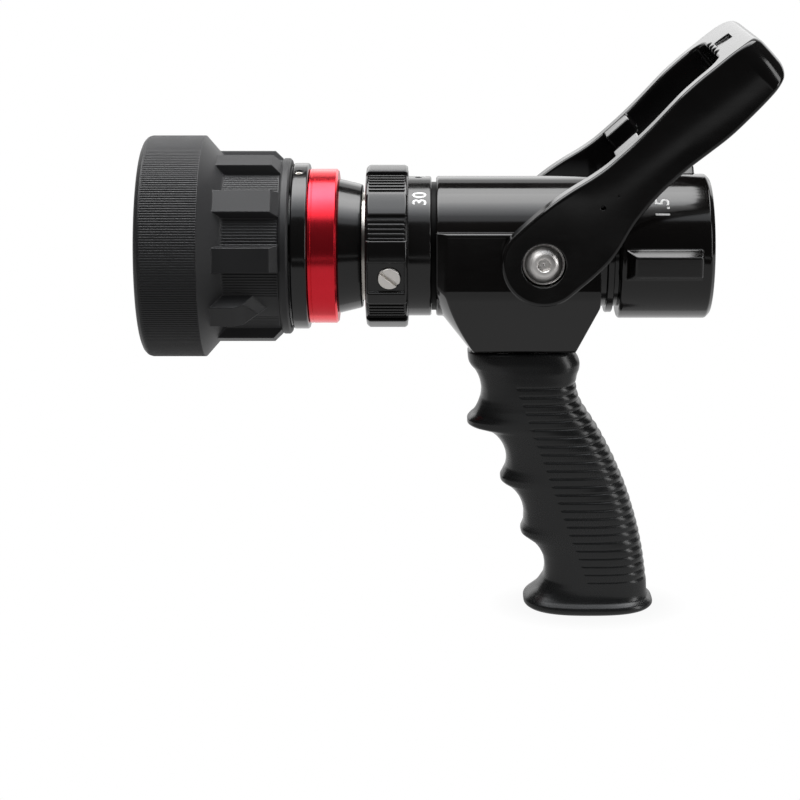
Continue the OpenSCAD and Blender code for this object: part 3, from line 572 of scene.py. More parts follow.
# ------------------------------------------------------------------ bail handle
CB, SB = math.cos(math.radians(42)), math.sin(math.radians(42))
BL = 138.2
TOPX = [-6, 0, 5, 14, 23, 33, 42, 52, 62, 75, 90, 98, 106, 114, 122, 128, 134.6, 142]
TOPZ = [18.9, 18.9, 19.0, 18.9, 18.4, 17.1, 15.4, 14.4, 14.4, 14.9, 16.2, 16.8, 16.8, 16.4, 16.1, 15.6, 14.4, 10]
BOTX = [-6, 0, 12, 22, 30, 36, 44, 54, 62, 74, 88, 100, 112, 125.2, 132.7, 142]
BOTZ = [-18.9, -18.9, -19.2, -18.8, -17.1, -15.1, -12.8, -11.2, -10.4, -10.2, -11.1, -11.8, -11.3, -10.2, -8.8, -5]


def curve_table(X, Z):
    t = np.arange(-10, 143, 0.1)
    z = pchip(X, Z)(t)
    k = np.exp(-0.5 * (np.arange(-60, 61) / 24.0) ** 2)
    z = np.convolve(np.pad(z, 60, mode="edge"), k / k.sum(), "valid")
    return t, z, np.gradient(z, 0.1)


TOP, BOT = curve_table(TOPX, TOPZ), curve_table(BOTX, BOTZ)


def f_bail(p):
    dx, dz = p[:, 0] - PIV, p[:, 2]
    u, v, y = dx * CB + dz * SB, -dx * SB + dz * CB, np.abs(p[:, 1])
    zt, st = np.interp(u, TOP[0], TOP[1]), np.interp(u, TOP[0], TOP[2])
    zb, sb = np.interp(u, BOT[0], BOT[1]), np.interp(u, BOT[0], BOT[2])
    top, bot = (v - zt) / np.sqrt(1 + st * st), (zb - v) / np.sqrt(1 + sb * sb)
    arm = np.maximum(rmax(rmax(top, u - BL, 3.2), bot, 5.0), -u)
    side = np.minimum(arm, np.hypot(u, v) - 18.9)
    c = (v - (zt + zb) / 2) / np.maximum((zt - zb) / 2, 5)
    crown = 0.75 * np.clip(c, -1.3, 1.3) ** 2 * smooth01(u, 22, 55)
    a, b = u - (BL - 12), y - 34
    plan = np.hypot(np.maximum(a, 0), np.maximum(b, 0)) - 12 + np.minimum(np.maximum(a, b), 0) + crown
    d = rmax(side, plan, 1.7)
    a, b = u - 109, y - 26.3
    inner = np.hypot(np.maximum(a, 0), np.maximum(b, 0)) - 9 + np.minimum(np.maximum(a, b), 0) - crown * 0.5 * smooth01(u, 60, 80)
    d = rmax(d, -inner, 1.4)
    # stop lugs inside the arms
    lug = rmax(rmax(np.abs(u - 62.3) - 7, np.abs(v - 10.1) - 4, 1.0), np.maximum(22.2 - y, y - 38), 1.0)
    d = rmin(d, lug, 0.8)
    # counterbore, screw hole, square drive socket
    rr = np.hypot(u, v)
    d = smax(0.5, d, -np.maximum(rr - 9.9, 41.2 - y))
    d = np.maximum(d, -np.maximum(rr - 5.1, 20 - y))
    d = np.maximum(d, -np.maximum(np.maximum(rr - 8.02, np.maximum(np.abs(u), np.abs(v)) - 6.35), y - 40.9))
    # pin hole and small dimple
    d = smax(0.3, d, -np.maximum(np.hypot(u - 36.9, v - 2.2) - 1.05, 42.5 - y))
    d = smax(0.3, d, -np.maximum(np.hypot(u - 45.4, v - 1.5) - 0.45, 45 - y))
    # finger scallops
    yy = p[:, 1] - (np.clip(np.round(p[:, 1] / 9.6 - 0.5), -2, 1) + 0.5) * 9.6
    d = rmax(d, -(np.hypot(u - 116.4, yy) - 4.5), 0.8)
    # panel recess on the crossbar
    c9, s9 = math.cos(math.radians(9)), math.sin(math.radians(9))
    pu, pv = u - (BL - 12.4), v - 15.9
    a, b = pu * c9 - pv * s9, pu * s9 + pv * c9
    rec = rmax(np.abs(a) - 3.9, y - 7.5, 0.8)
    return smax(0.3, d, -np.maximum(rec, np.abs(b) - 1.3))


put(sdf("bail_handle_skin", f_bail, (-100, -47, -22), (45, 47, 106), 0.5), "bail", M["bail_black"], "bail_black", "bail_handle")


def f_screw(p):
    u, v, h = p[:, 0] - PIV, p[:, 2], np.abs(p[:, 1])
    r = np.hypot(u, v)
    disc = smax(0.3, r - 9.5, 41.2 - h, h - 42.0)
    dome = smax(0.35, np.hypot(r, h - 34.77) - 11.428, r - 8.6, 41.4 - h, h - 45.2)
    d = np.minimum(disc, dome)
    d = smax(0.2, d, -(np.hypot(r - 8.82, h - 42.05) - 0.34))
    d = np.minimum(d, smax(0.3, r - 4, 29.6 - h, h - 42))
    a = np.arctan2(v, u) + math.radians(12)
    a = (a + math.pi / 6) % (math.pi / 3) - math.pi / 6
    hx = r * np.cos(a) - 2.6
    d = smax(0.12, d, -np.maximum(hx, 42.4 - h))
    return smax(0.12, d, -((r - 2.6) - (h - 44.6)) / math.sqrt(2))


put(sdf("bail_screws_skin", f_screw, (PIV - 10, -45.6, -10), (PIV + 10, 45.6, 10), 0.24), "bail", M["stainless"], "stainless", "bail_screws")


# ------------------------------------------------------------------ flow ring
def f_flow(p):
    x = p[:, 0]
    r, ph = polar(p)
    s2 = math.sqrt(2)
    main = smax(0.4, r - 35.9, -158.5 - x, x + 139.1, (r - x - 193.6) / s2, (r + x + 104.0) / s2)
    band = smax(0.4, r - 32.4, -139.5 - x, x + 128.5, (r + x + 96.6) / s2)
    d = np.minimum(main, band)
    pit = math.radians(255.8 / 6)
    k = np.clip(np.round((ph % (2 * math.pi) - math.radians(41.6)) / pit), 0, 6)
    ac = np.abs(wrap(ph - math.radians(41.6) - k * pit))
    a = ac - math.radians(8.7)
    aw = np.abs(wrap(ph - math.radians(-9.1))) - math.radians(23.7)
    sidew = r * np.sin(np.clip(np.minimum(a, aw), -1.5, 1.5))
    ends = smax(0.3, -158.3 - x, x + 139.2, (r - x - 194.85) / s2, (r + x + 102.25) / s2)
    top = np.where(a < aw, r * np.cos(np.minimum(ac, 0.3)) - 37.75, r - 38.05)
    lug = rmax(smax(0.5, r - 38.05, top, ends), sidew, 0.6)
    # fine ribs between the lugs
    st = math.radians(3.4)
    mid = ph % (2 * math.pi) - math.radians(42.8) - pit / 2
    m = np.clip(np.round(mid / pit), 0, 5)
    q = mid - m * pit
    q1 = q - (np.clip(np.floor(q / st), -3, 2) + 0.5) * st
    q2 = np.minimum(np.abs(wrap(ph - math.radians(-9.3 + 32))), np.abs(wrap(ph - math.radians(-9.3 - 32))))
    q2 = q2 - np.clip(np.round(q2 / st), 0, 2) * st
    near = np.where(np.abs(wrap(ph - math.radians(-9.3))) < math.radians(42), np.abs(q2), np.abs(q1))
    rib = rmax(smax(0.3, r - 36.75, -156.8 - x, x + 140.6), r * (near - math.radians(0.92)), 0.45)
    d = smin(0.35, d, np.maximum(lug, 30 - r), np.maximum(rib, 30 - r))
    # bore, front recess, detent pocket and holes
    d = smax(0.3, d, -np.minimum(ring(r, x, 26.56, -160, -120), ring(r, x, 29, -160, -155.5)))
    t, n = local(p, DET_PHI)
    pocket = np.maximum(np.maximum(35.7 - n, (np.abs(t - 0.55) - 6.95 - 0.579 * (n - 35.7)) / 1.155), np.maximum(x + 140.6, -157.2 - x))
    d = rmax(d, -pocket, 0.6)
    h = np.hypot(x - DET_X, t)
    d = smax(0.3, d, -np.maximum(h - 5.25, 31 - n))
    d = np.maximum(d, -np.maximum(h - 2.12, -n))
    return np.maximum(d, -np.maximum(np.hypot(x + 134.5, p[:, 1]) - 1.52, 0 * x))


put(sdf("flow_ring_skin", f_flow, (-159.4, -38.8, -38.8), (-127.9, 38.8, 38.8), 0.34), "flow", M["ring_black"], "ring_black", "flow_ring")


def f_dplug(p):
    t, n = local(p, DET_PHI)
    u = p[:, 0] - DET_X
    r = np.hypot(u, t)
    d = rmax(smax(0.2, r - 5.1, 33.4 - n), n - 36.9, 0.45)
    c, s = math.cos(math.radians(40)), math.sin(math.radians(40))
    slot = rmax(np.abs(u * s + t * c) - 0.8, 35.3 - n, 0.05)
    return smax(0.25, d, -slot)


c_, s_ = math.cos(DET_PHI), math.sin(DET_PHI)
put(sdf("detent_plug_skin", f_dplug, (DET_X - 5.6, -37.8, -15.5), (DET_X + 5.6, -30.2, -1.2), 0.2), "flow", M["plug_steel"], "stainless", "detent_plug")


# ------------------------------------------------------------------ pattern sleeve parts
def f_lock(p):
    x = p[:, 0]
    r, ph = polar(p)
    s2 = math.sqrt(2)
    d = smax(0.35, r - 38.5, -192.1 - x, x + 184.7, (r - x - 230.0) / s2, (r + x + 146.8) / s2)
    d = smax(0.3, d, 29.02 - r)
    t, n = local(p, CAM_PHI)
    h = np.hypot(x - CAM_X, t)
    d = smax(0.35, d, -np.maximum(h - 2.1, -n))
    return d


put(sdf("lock_ring_skin", f_lock, (-192.8, -39.2, -39.2), (-184.0, 39.2, 39.2), 0.36), "pattern", M["ring_black"], "ring_black", "lock_ring")

put(lathe("index_ring_skin", [[29.02, -184.6], [35.5, -184.6, 0.25], [35.8, -184.3, 0.3], [35.8, -183.2, 0.1], [35.62, -183.05, 0.1], [35.62, -182.75, 0.1], [35.8, -182.6, 0.1],
    [35.8, -172.2, 0.3], [34.9, -171.3, 0.3], [29.02, -171.3]]), "pattern", M["ring_red"], "ring_red", "index_ring")

put(lathe("rear_skirt_skin", [[27.03, -171.2], [31, -171.2, 0.3], [31.1, -170.6, 0.4], [28.7, -160.7, 0.6], [28.1, -160.1, 0.5], [25.9, -160.1, 0.3], [25.4, -160.6, 0.3], [25.4, -166.3], [27.03, -166.3]]),
    "pattern", M["ring_black"], "ring_black", "rear_skirt")

put(lathe("baffle_head_skin", [[2.6, -238], [6.5, -238, 0.5], [8, -240.5, 1.5], [14, -243.4, 4], [23, -246.6, 4], [28.2, -249.4, 1.5], [29, -251, 0.6], [29, -252.2, 0.4], [28.2, -253, 0.4], [22, -253, 0.8],
    [20, -251.8, 1.0], [9, -251.8, 0.6], [8, -252.6, 0.4], [5.2, -252.6, 0.3], [5.2, -250.4, 0.1], [2.6, -250.4, 0.1]]), "nozzle", M["ring_black"], "body_black", "baffle_head")


def bumper():
    LUG_R, CORE = 43.9, 39.6
    base = fil([[37, -192.9, 0.2], [39.8, -192.9, 0.5], [40.8, -193.8, 0.6], [40.8, -196.2, 0.5], [40.3, -197.0, 0.3], [CORE, -197.4, 0.25], [CORE, -222.6, 2.6], [50.8, -232.4, 0.55],
                [51.3, -232.8, 0.5], [51.3, -257.2, 1.8], [50.75, -259.0, 1.4], [49.4, -260.3, 1.4], [47.6, -261.05, 1.0], [46.4, -261.1, 0.5], [45.8, -260.8, 0.4], [37.9, -255.8, 0.3], [37, -255.2, 0.3]], seg=7)[:, :2]
    # subdivide long runs where lugs, ribs and teeth need rows
    rows = []
    m = len(base)
    for i in range(m):
        a, b = base[i], base[(i + 1) % m]
        rows.append(a)
        L = np.linalg.norm(b - a)
        mx = (a + b) / 2
        if mx[0] < 38.0 and abs(a[0] - b[0]) < 0.3:
            step = 1e9
        elif mx[0] > 51 or mx[1] > -193.5:
            step = 1e9
        elif mx[1] < -254:
            step = 0.55
        elif abs(a[0] - CORE) < 0.02 and abs(b[0] - CORE) < 0.02:
            xs = sorted(set([float(x) for x in np.concatenate([np.arange(-197.8, -200.2, -0.3), np.arange(-200.5, -214.6, -0.45), np.arange(-215.2, -219.4, -1.2)])
                             if min(a[1], b[1]) + 0.1 < x < max(a[1], b[1]) - 0.1]), reverse=a[1] > b[1])
            rows += [np.array([CORE, x]) for x in xs]
            continue
        else:
            step = 0.32
        k = int(min(60, max(1, math.ceil(L / step))))
        rows += [a + (b - a) * j / k for j in range(1, k)]
        if mx[0] > 51 and L > 10:   # support rows next to the ends of the ribbed cylinder
            rows += [a + (b - a) * w for w in (0.25 / L, 0.6 / L, 0.5, 1 - 0.6 / L, 1 - 0.25 / L)]
    rows = np.array(rows)
    nphi = 1620
    ph = np.arange(nphi) * 2 * math.pi / nphi
    r = np.repeat(rows[:, :1], nphi, 1)
    x = np.repeat(rows[:, 1:2], nphi, 1)
    P = np.repeat(ph[None, :], len(rows), 0)
    outer = ((rows[:, 0] > 38.2) & (rows[:, 1] > -254) | (rows[:, 0] > 51.0))[:, None]
    # fine ribs on the big cylinder: rounded crowns, narrow dark grooves
    a = np.abs(np.sin(P * 135))
    rib = (1 - a ** 0.75) ** 1.6
    amp = smooth01(x, -258.7, -258.1) * (1 - smooth01(x, -233.25, -232.7)) * (r > 50.7)
    r = r - 0.42 * rib * amp
    # ribs on the core between the lugs
    sect = (np.degrees(P) - 2.7) % 36
    ip = (sect - 18)
    inv = smooth01(18 - np.abs(ip), 8.6, 9.4)
    a = np.abs(np.sin(np.radians(sect) * 90))
    rib = (1 - a ** 0.8) ** 1.5
    core_amp = smooth01(x, -222.9, -222.2) * (1 - smooth01(x, -198.1, -197.6)) * ((r < CORE + 0.6) & (r > 39))
    r = np.where(outer, r - 0.38 * rib * core_amp * inv, r)

    # grip lugs: flat top, sides with draft, chamfered rear end
    def lug(r, c, half, top, draft=0.16, point=False):
        D = wrap(P - math.radians(c))
        cs, sn = np.maximum(np.cos(D), 0.2), np.abs(np.sin(D))
        rt = top / cs
        rs = (half + draft * LUG_R) / np.maximum(sn + draft * cs, 1e-6)
        if point:
            # pointed rear end: n + t + x <= limit
            rp = (LUG_R - (x + 206.8)) / (cs + sn)
            rt = np.where(x > -218, -smax(0.25, -rt, -rp), rt)
        lr = -smax(0.35, -rt, -rs)
        lr = np.where(np.abs(D) < 0.6, lr, 0)
        live = outer & (x > -232.1)
        return np.where(live, smax(0.35, r, lr), r)

    rear = LUG_R - np.maximum(0, x + 200.9) - 8 * np.maximum(0, x + 197.2)
    for k in range(9):
        r = lug(r, 2.7 + 36 * k, 5.6, rear)
    big = np.interp(x, [-232.1, -229, -212, -190], [50.3, 50.3, LUG_R, LUG_R])
    big = np.minimum(big, rear + 2.0)
    r = lug(r, -33.3, 6.3, big, point=True)
    # fog teeth on the front cone
    f = (np.degrees(P) - 4) % 15
    tooth = smooth01(f, 0.0, 0.9) * (1 - smooth01(f, 6.4, 7.3))
    rr = np.interp(r, [37.6, 38.6, 44.8, 46.0], [0, 1, 1, 0])
    front = (rows[:, 1] < -254.5)[:, None] & (rows[:, 0] < 46.6)[:, None]
    cone = -255.6 - (r - 37.6) * 5.0 / 8.0
    top = np.interp(r, [37.6, 38.6, 44.6, 46.0], [-255.6, -258.5, -260.75, -260.9])
    x = np.where(front, x + tooth * rr * (np.minimum(top, cone) - cone), x)
    G = np.stack([x, -r * np.cos(P), r * np.sin(P)], -1)
    N = orient(G, grid_normals(G))
    return build("rubber_bumper_skin", G.reshape(-1, 3), [grid_faces(len(rows), nphi)], N)


put(bumper(), "pattern", M["bumper_rubber"], "bumper_rubber", "rubber_bumper")


# ------------------------------------------------------------------ pistol grip
GT = [[-48.7, -110.4, -62.5, 13.6], [-49.6, -111.6, -61.6, 14.4], [-52, -111.5, -60.3, 15], [-54, -111.2, -59.3, 15.3], [-56, -110.2, -58.9, 15.45], [-58, -108.4, -59.1, 15.6],
      [-60, -107.2, -59.8, 15.7], [-62, -106.3, -60.3, 15.8], [-65, -105.5, -60.5, 15.9], [-68, -105.1, -60.1, 16], [-71, -105.3, -59.4, 16.05], [-74, -106.1, -58.2, 16.1], [-77, -107.3, -56.5, 16.2],
      [-79.3, -108.7, -55, 16.2], [-81.2, -110.8, -53.7, 16.2], [-82.6, -111.7, -52.8, 16.2], [-84, -111.7, -51.9, 16.2], [-85.3, -110.2, -51.1, 16.2], [-86.3, -106.2, -50.4, 16.2],
      [-87.4, -102.2, -49.8, 16.2], [-89.1, -99.4, -48.8, 16.25], [-91.5, -97, -47.5, 16.3], [-95, -94.8, -45.6, 16.4], [-99, -93.5, -43.6, 16.45], [-102, -93.2, -42.1, 16.5],
      [-105, -93.5, -40.8, 16.5], [-108.8, -95.1, -39.1, 16.5], [-110.8, -96, -38.3, 16.5], [-111.9, -95.9, -37.8, 16.5], [-113.2, -94.7, -37.3, 16.5], [-114.7, -92.1, -36.7, 16.5],
      [-117, -89.5, -35.9, 16.5], [-120.7, -86.9, -34.6, 16.6], [-124.7, -85.4, -33.4, 16.65], [-128.6, -84.8, -32.2, 16.7], [-132.6, -84.9, -31.1, 16.7], [-134.8, -85.5, -30.5, 16.7],
      [-136.8, -86.2, -30, 16.7], [-138.2, -85.9, -29.7, 16.7], [-140, -83.7, -29.3, 16.7], [-142.6, -80, -28.8, 16.7], [-146.6, -76.9, -28, 16.7], [-150.6, -75.2, -27.4, 16.7],
      [-155.6, -74.6, -26.7, 16.7], [-159.5, -75.1, -26.2, 16.75], [-162.7, -76.9, -25.9, 16.8], [-165, -78.6, -25.8, 17], [-166.9, -80.9, -25.7, 17.4], [-168.8, -83.3, -25.3, 18.3],
      [-169.9, -84.2, -24.1, 19.3], [-171, -84.6, -23.2, 20.2], [-172.4, -84.5, -22.8, 20.5], [-173.8, -83.2, -23.9, 19.8], [-174.6, -81.3, -25.8, 18.6], [-175, -79.4, -27.7, 17.4]]


def grip():
    T = np.array(GT)
    fx, bx, hw = (pchip(T[:, 0], T[:, k]) for k in (1, 2, 3))
    dz = 0.30 * K
    z = np.concatenate([np.arange(-48.7, -52, -0.25), np.arange(-52.2, -164.8, -dz), np.arange(-165, -175.001, -0.25)])
    nt = int(224 / K)
    t = np.arange(nt) * 2 * math.pi / nt
    # crowd the columns a little towards the rounded corners
    t = t + 0.10 * np.sin(4 * t) * -1
    c, s = np.cos(t)[None], np.sin(t)[None]
    e = 2 / 2.7
    F, Bk, W = fx(z)[:, None], bx(z)[:, None], hw(z)[:, None]
    L = (Bk - F) / 2
    cx = (F + Bk) / 2
    X = cx - L * np.sign(c) * np.abs(c) ** e
    Y = W * np.sign(s) * np.abs(s) ** e
    nx = np.sign(X - cx) * np.abs((X - cx) / L) ** 1.7 / L
    ny = np.sign(Y) * np.abs(Y / W) ** 1.7 / W
    nn = np.hypot(nx, ny) + 1e-9
    nx, ny = nx / nn, ny / nn
    Z = np.repeat(z[:, None], nt, 1)
    # wrap-round grooves starting on a diagonal line
    xs = -88.9 + (Z + 64.7) * (33.5 / -94.1)
    m = smooth01(X, xs, xs + 0.9)
    back = smooth01(nx, 0.15, 0.85) * m
    k = np.clip(np.round((-64.7 - Z) / 3.92), 0, 24)
    d = Z - (-64.7 - 3.92 * k)
    fade = 1 - 0.45 * smooth01(-Z, 120, 160)
    g = 0.50 * np.exp(-(d / 0.42) ** 2) * m * fade
    gb = 0.75 * np.exp(-(np.abs(d) / 0.85) ** 1.6) * back
    g = np.maximum(g, gb)
    X, Y = X - nx * g, Y - ny * g
    G = np.stack([X, Y, Z], -1)
    # bottom: flat rim, then the plug bore
    cz = -175.0
    ax = -86 + (cz + 48) * math.tan(TILT)
    ct, st = -np.cos(t), np.sin(t)
    rows = [G]
    edge = G[-1]
    for w in (0.03, 0.35, 0.8):
        q = edge.copy()
        tgt = np.stack([ax + 9.2 * ct, 9.0 * st, np.full(nt, cz)], -1)
        rows.append((edge * (1 - w) + tgt * w)[None])
    dirv = np.array([math.sin(TILT) * -1, 0, -math.cos(TILT)])
    for R, dep in ((8.75, 0.0), (8.32, 0.15), (8.2, 0.5), (8.2, 6.0), (8.2, 13.5), (8.0, 13.7), (1.5, 13.7)):
        o = np.array([ax, 0, cz]) + np.array([math.sin(-TILT) * 1, 0, 1]) * 0
        p = np.stack([ax + R * ct / math.cos(TILT) ** (1 if dep < 0.2 else 1), R * st, np.full(nt, cz)], -1)
        p = p - dirv * dep
        rows.append(p[None])
    # top: shallow dished cap under the keel
    topc = np.array([(T[0, 1] + T[0, 2]) / 2, 0, -48.7])
    head = []
    for w in (0.9, 0.5, 0.15):
        q = topc + (G[0] - topc) * w
        head.append(q[None])
    A = np.concatenate(head[::-1] + rows)
    nr = len(A)
    V = A.reshape(-1, 3)
    faces = [grid_faces(nr, nt, wrap_r=False)]
    V = np.concatenate([V, A[0].mean(0)[None], A[-1].mean(0)[None]])
    j = np.arange(nt)
    j2 = (j + 1) % nt
    base = (nr - 1) * nt
    faces.append(np.concatenate([np.stack([np.full(nt, nr * nt), j, j2], -1), np.stack([np.full(nt, nr * nt + 1), base + j2, base + j], -1)]))
    N = grid_normals(A, False)
    n2 = N.reshape(-1, 3)
    # outward check on the side rows
    mid = nr // 2
    if (N[mid] * (A[mid] - A[mid].mean(0))).sum() < 0:
        n2 = -n2
    n2 = np.concatenate([n2, [[0, 0, 1]], [[0, 0, -1]]])
    return build("pistol_grip_skin", V, faces, n2)


put(grip(), "nozzle", M["grip_plastic"], "grip_plastic", "pistol_grip")


# ------------------------------------------------------------------ printed numbers, wrapped on their cylinder
def digits(name, text, height, r, phi_deg, x, body, lift=0.035):
    cu = bpy.data.curves.new(name, "FONT")
    cu.body, cu.size, cu.resolution_u = text, 1.0, 6
    cu.space_character, cu.offset = 1.06, 0.011
    ob = bpy.data.objects.new(name + "_src", cu)
    SC.objects.link(ob)
    bpy.context.view_layer.update()
    dg = bpy.context.evaluated_depsgraph_get()
    me = bpy.data.meshes.new_from_object(ob.evaluated_get(dg))
    bpy.data.objects.remove(ob)
    bm = bmesh.new()
    bm.from_mesh(me)
    bmesh.ops.remove_doubles(bm, verts=bm.verts, dist=1e-5)
    co = np.array([v.co[:2] for v in bm.verts])
    lo, hi = co.min(0), co.max(0)
    sc = height / (hi[1] - lo[1])
    for v in bm.verts:
        v.co = Vector(((v.co.x - (lo[0] + hi[0]) / 2) * sc * 0.92, (v.co.y - (lo[1] + hi[1]) / 2) * sc, 0))
    half = (hi[0] - lo[0]) / 2 * sc
    for u in np.arange(-half, half, 0.45):
        geom = bm.verts[:] + bm.edges[:] + bm.faces[:]
        bmesh.ops.bisect_plane(bm, geom=geom, plane_co=(u + 0.013, 0, 0), plane_no=(1, 0, 0), dist=1e-6)
    out = bmesh.ops.extrude_face_region(bm, geom=bm.faces[:])
    for v in [e for e in out["geom"] if isinstance(e, bmesh.types.BMVert)]:
        v.co.z = 1.0
    bmesh.ops.recalc_face_normals(bm, faces=bm.faces[:])
    for v in bm.verts:
        a = math.radians(phi_deg) + v.co.x / r
        rad = r + lift if v.co.z > 0.5 else r - 0.12
        v.co = Vector(((x - v.co.y) * MM, -rad * math.cos(a) * MM, rad * math.sin(a) * MM))
    bmesh.ops.recalc_face_normals(bm, faces=bm.faces[:])
    me = bpy.data.meshes.new(name)
    bm.to_mesh(me)
    bm.free()
    ob = bpy.data.objects.new(name, me)
    SC.objects.link(ob)
    return put(ob, body, M["white_mark"], None)


for k, tx in enumerate(("30", "60", "95")):
    digits("flow_number_" + tx, tx, 6.4, 32.4, 53.2 + 48 * k, -133.9, "flow")
digits("thread_size_number", "1.5", 6.6, 33.5, 43, -23.8, "swivel")

# ------------------------------------------------------------------ materials of the CAD nodes that stay
PLAIN = {
    "hose_gasket": "seal_rubber", "inlet_screen": "polished_steel", "race_ball_set": "polished_steel", "tailpiece_oring": "seal_rubber",
    "rear_seat": "seat_plastic", "front_seat": "seat_plastic", "seat_oring": "seal_rubber", "valve_ball": "polished_steel", "trunnions": "polished_steel",
    "trunnion_orings": "seal_rubber", "thrust_washers": "seat_plastic", "stem_tube": "stem_alloy", "stem_orings": "seal_rubber", "snap_ring": "polished_steel",
    "spider_plate": "brass", "baffle_screw": "polished_steel", "detent_spring": "polished_steel", "detent_ball": "polished_steel", "drive_pins": "polished_steel",
    "metering_sleeve": "brass", "guide_ring": "seat_plastic", "pattern_sleeve": "ring_black", "set_screw": "plug_steel", "cam_pin": "polished_steel",
    "grip_bolt": "polished_steel", "grip_washer": "polished_steel", "grip_plug": "grip_plastic",
}
for name, mat in PLAIN.items():
    o = NODES[name]
    o.data.materials.clear()
    o.data.materials.append(M[mat])
for name, o in NODES.items():
    if name not in PLAIN and not o.hide_render:
        o.data.materials.clear()
        o.data.materials.append(M["body_black"])


# ------------------------------------------------------------------ stage, light, camera
def emission(name, cam_col, other, shadow=None, backface_clear=True):
    n = Nodes(name)
    lp = n.new("ShaderNodeLightPath").outputs["Is Camera Ray"]
    col = cam_col
    if shadow:
        col = shadow(n)
    ec = n.new("ShaderNodeEmission", Color=col, Strength=1.0).outputs[0]
    eo = n.new("ShaderNodeEmission", Color=rgb(1, 1, 1), Strength=other).outputs[0]
    mix = n.new("ShaderNodeMixShader", i0=lp, i1=eo, i2=ec).outputs[0]
    if backface_clear:
        bf = n.new("ShaderNodeNewGeometry").outputs["Backfacing"]
        tr = n.new("ShaderNodeBsdfTransparent").outputs[0]
        mix = n.new("ShaderNodeMixShader", i0=n.math("MULTIPLY", bf, lp), i1=mix, i2=tr).outputs[0]
    n.t.links.new(mix, n.out.inputs[0])
    return n.m


def plane(name, corners, mat):
    me = bpy.data.meshes.new(name)
    me.from_pydata([Vector(c) for c in corners], [], [(0, 1, 2, 3)])
    me.materials.append(mat)
    o = bpy.data.objects.new(name, me)
    SC.objects.link(o)
    return o


def contact(n):
    """Faint soft shade on the floor under the grip's foot."""
    s = n.xyz.outputs
    a = n.math("DIVIDE", n.math("SUBTRACT", s[0], -0.0535), 0.040)
    b = n.math("DIVIDE", n.math("SUBTRACT", s[1], 0.0), 0.030)
    d = n.math("SQRT", n.math("ADD", n.math("MULTIPLY", a, a), n.math("MULTIPLY", b, b)))
    return n.ramp(n.range(d, 0.0, 2.0, 0.0, 1.0), [(0.0, (0.90, 0.90, 0.90)), (0.42, (0.95, 0.95, 0.95)), (0.6, (1, 1, 1)), (1.0, (1, 1, 1))])


FZ = -0.1755
for name, y0, y1, rad in (("floor_near", -0.57, 0.05, 0.48), ("floor_mid", 0.05, 0.5, 0.9), ("floor_far", 0.5, 2.4, 0.55)):
    plane(name, [(-1.3, y0, FZ), (1.3, y0, FZ), (1.3, y1, FZ), (-1.3, y1, FZ)], emission(name + "_white", rgb(1, 1, 1), rad, contact))
fr = plane("floor_front", [(-0.45, -1.7, FZ), (0.6, -1.7, FZ), (0.6, -1.12, FZ), (-0.45, -1.12, FZ)], emission("floor_front_white", rgb(1, 1, 1), 0.45, None, False))
fr.visible_camera = False
for name, z0, z1, rad in (("backdrop_low", FZ, 0.30, 0.9), ("backdrop_mid", 0.30, 1.25, 1.75), ("backdrop_top", 1.25, 2.2, 1.05)):
    bd = plane(name, [(-2.6, 2.4, z0), (2.6, 2.4, z0), (2.6, 2.4, z1), (-2.6, 2.4, z1)], emission(name + "_white", rgb(1, 1, 1), rad, None, False))
    bd.visible_camera = False

world = bpy.data.worlds.new("studio")
bpy.context.scene.world = world
world.use_nodes = True
wt = world.node_tree
wt.nodes.clear()
wo = wt.nodes.new("ShaderNodeOutputWorld")
wl = wt.nodes.new("ShaderNodeLightPath")
b1, b2, wm = wt.nodes.new("ShaderNodeBackground"), wt.nodes.new("ShaderNodeBackground"), wt.nodes.new("ShaderNodeMixShader")
b1.inputs[0].default_value, b1.inputs[1].default_value = rgb(1, 0.97, 0.95), 0.045
b2.inputs[0].default_value, b2.inputs[1].default_value = rgb(1, 1, 1), 1.0
wt.links.new(wl.outputs["Is Camera Ray"], wm.inputs[0])
wt.links.new(b1.outputs[0], wm.inputs[1])
wt.links.new(b2.outputs[0], wm.inputs[2])
wt.links.new(wm.outputs[0], wo.inputs[0])


def softbox(name, loc, rot, sx, sy, radiance, color=(1, 1, 1)):
    li = bpy.data.lights.new(name, "AREA")
    li.shape, li.size, li.size_y = "RECTANGLE", sx, sy
    li.energy = radiance * math.pi * sx * sy
    li.color = color
    o = bpy.data.objects.new(name, li)
    SC.objects.link(o)
    o.location, o.rotation_euler = loc, rot
    o.visible_camera = False
    return o


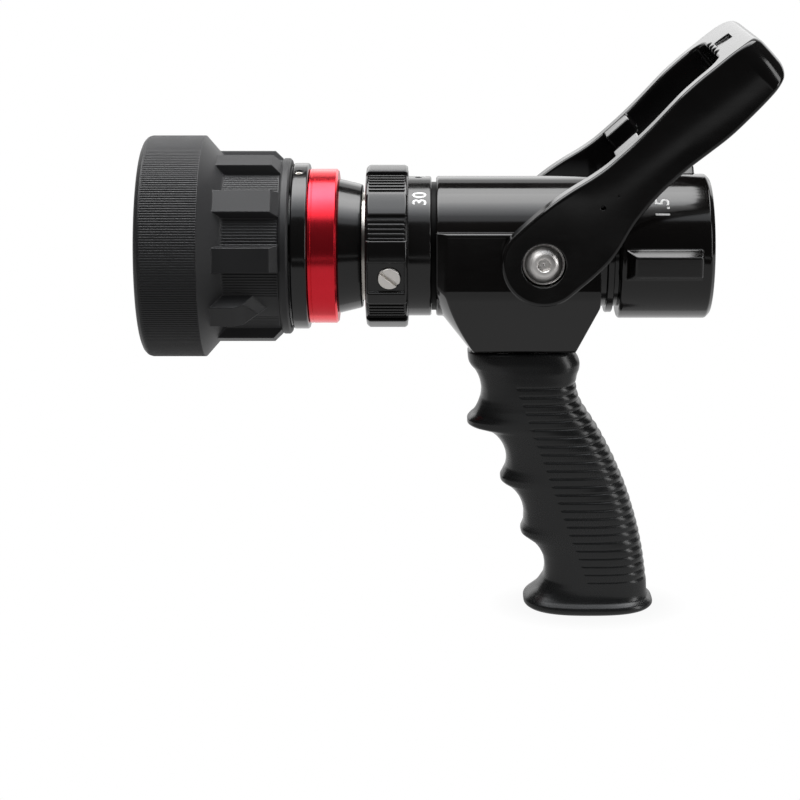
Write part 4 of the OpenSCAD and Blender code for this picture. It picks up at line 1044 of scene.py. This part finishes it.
LY = [-0.89, -0.75, -0.60, -0.51, -0.42, -0.33, -0.25, -0.17, -0.10, 0.0, 0.30, 0.45, 0.61]
for k in range(len(LY) - 1):
    y0, y1 = LY[k], LY[k + 1]
    f = float(np.interp((y0 + y1) / 2, [-0.89, -0.68, -0.5, -0.33, -0.17, -0.05, 0.2, 0.45, 0.61], [0.9, 1.1, 2.2, 3.5, 5.2, 6.7, 6.9, 5.4, 5.0]))
    w = min(1.0, max(0.0, (y0 + y1) / 2 + 0.6) / 0.6)
    softbox("overhead_%d" % k, (-0.12, (y0 + y1) / 2, 1.10), (0, 0, 0), 2.0, y1 - y0, f, (0.93 + 0.07 * w, 0.96 + 0.04 * w, 1.0))

softbox("side_card", (1.25, -0.60, 0.35), (0, math.pi / 2, 0), 1.0, 0.40, 4.0)
# small front light that only the bright screws pick up
hardware = bpy.data.collections.new("bright_hardware")
for nm in ("bail_screws_skin", "detent_plug_skin"):
    hardware.objects.link(bpy.data.objects[nm])
key = softbox("hardware_light", (-0.48, -0.78, 0.50), Vector((0.40, 0.74, -0.50)).to_track_quat("-Z", "Y").to_euler(), 0.55, 0.45, 2.6)
key.light_linking.receiver_collection = hardware

cam = bpy.data.cameras.new("camera")
cam.lens, cam.sensor_width = 101.25, 36
cam.clip_start, cam.clip_end = 0.05, 20
co = bpy.data.objects.new("camera", cam)
SC.objects.link(co)
elev = math.radians(11.4)
co.location = (-0.1254, -1.0465 * math.cos(elev), 1.0465 * math.sin(elev))
co.rotation_mode = "QUATERNION"
co.rotation_quaternion = Vector((0, math.cos(elev), -math.sin(elev))).to_track_quat("-Z", "Y")
# the lens is shifted for the main picture only; any other place of the camera looks straight ahead
for prop, amount in (("shift_x", -0.0475), ("shift_y", -0.19275)):
    dr = cam.driver_add(prop).driver
    dr.type = "SCRIPTED"
    var = dr.variables.new()
    var.name, var.type = "a", "TRANSFORMS"
    var.targets[0].id = co
    var.targets[0].transform_type, var.targets[0].transform_space = "LOC_X", "WORLD_SPACE"
    dr.expression = "%.5f if abs(a + 0.1254) < 0.0001 else 0.0" % amount
sc = bpy.context.scene
sc.camera = co
sc.view_settings.view_transform = "Standard"
sc.view_settings.look = "None"
sc.view_settings.exposure = 0.0
sc.view_settings.gamma = 1.0
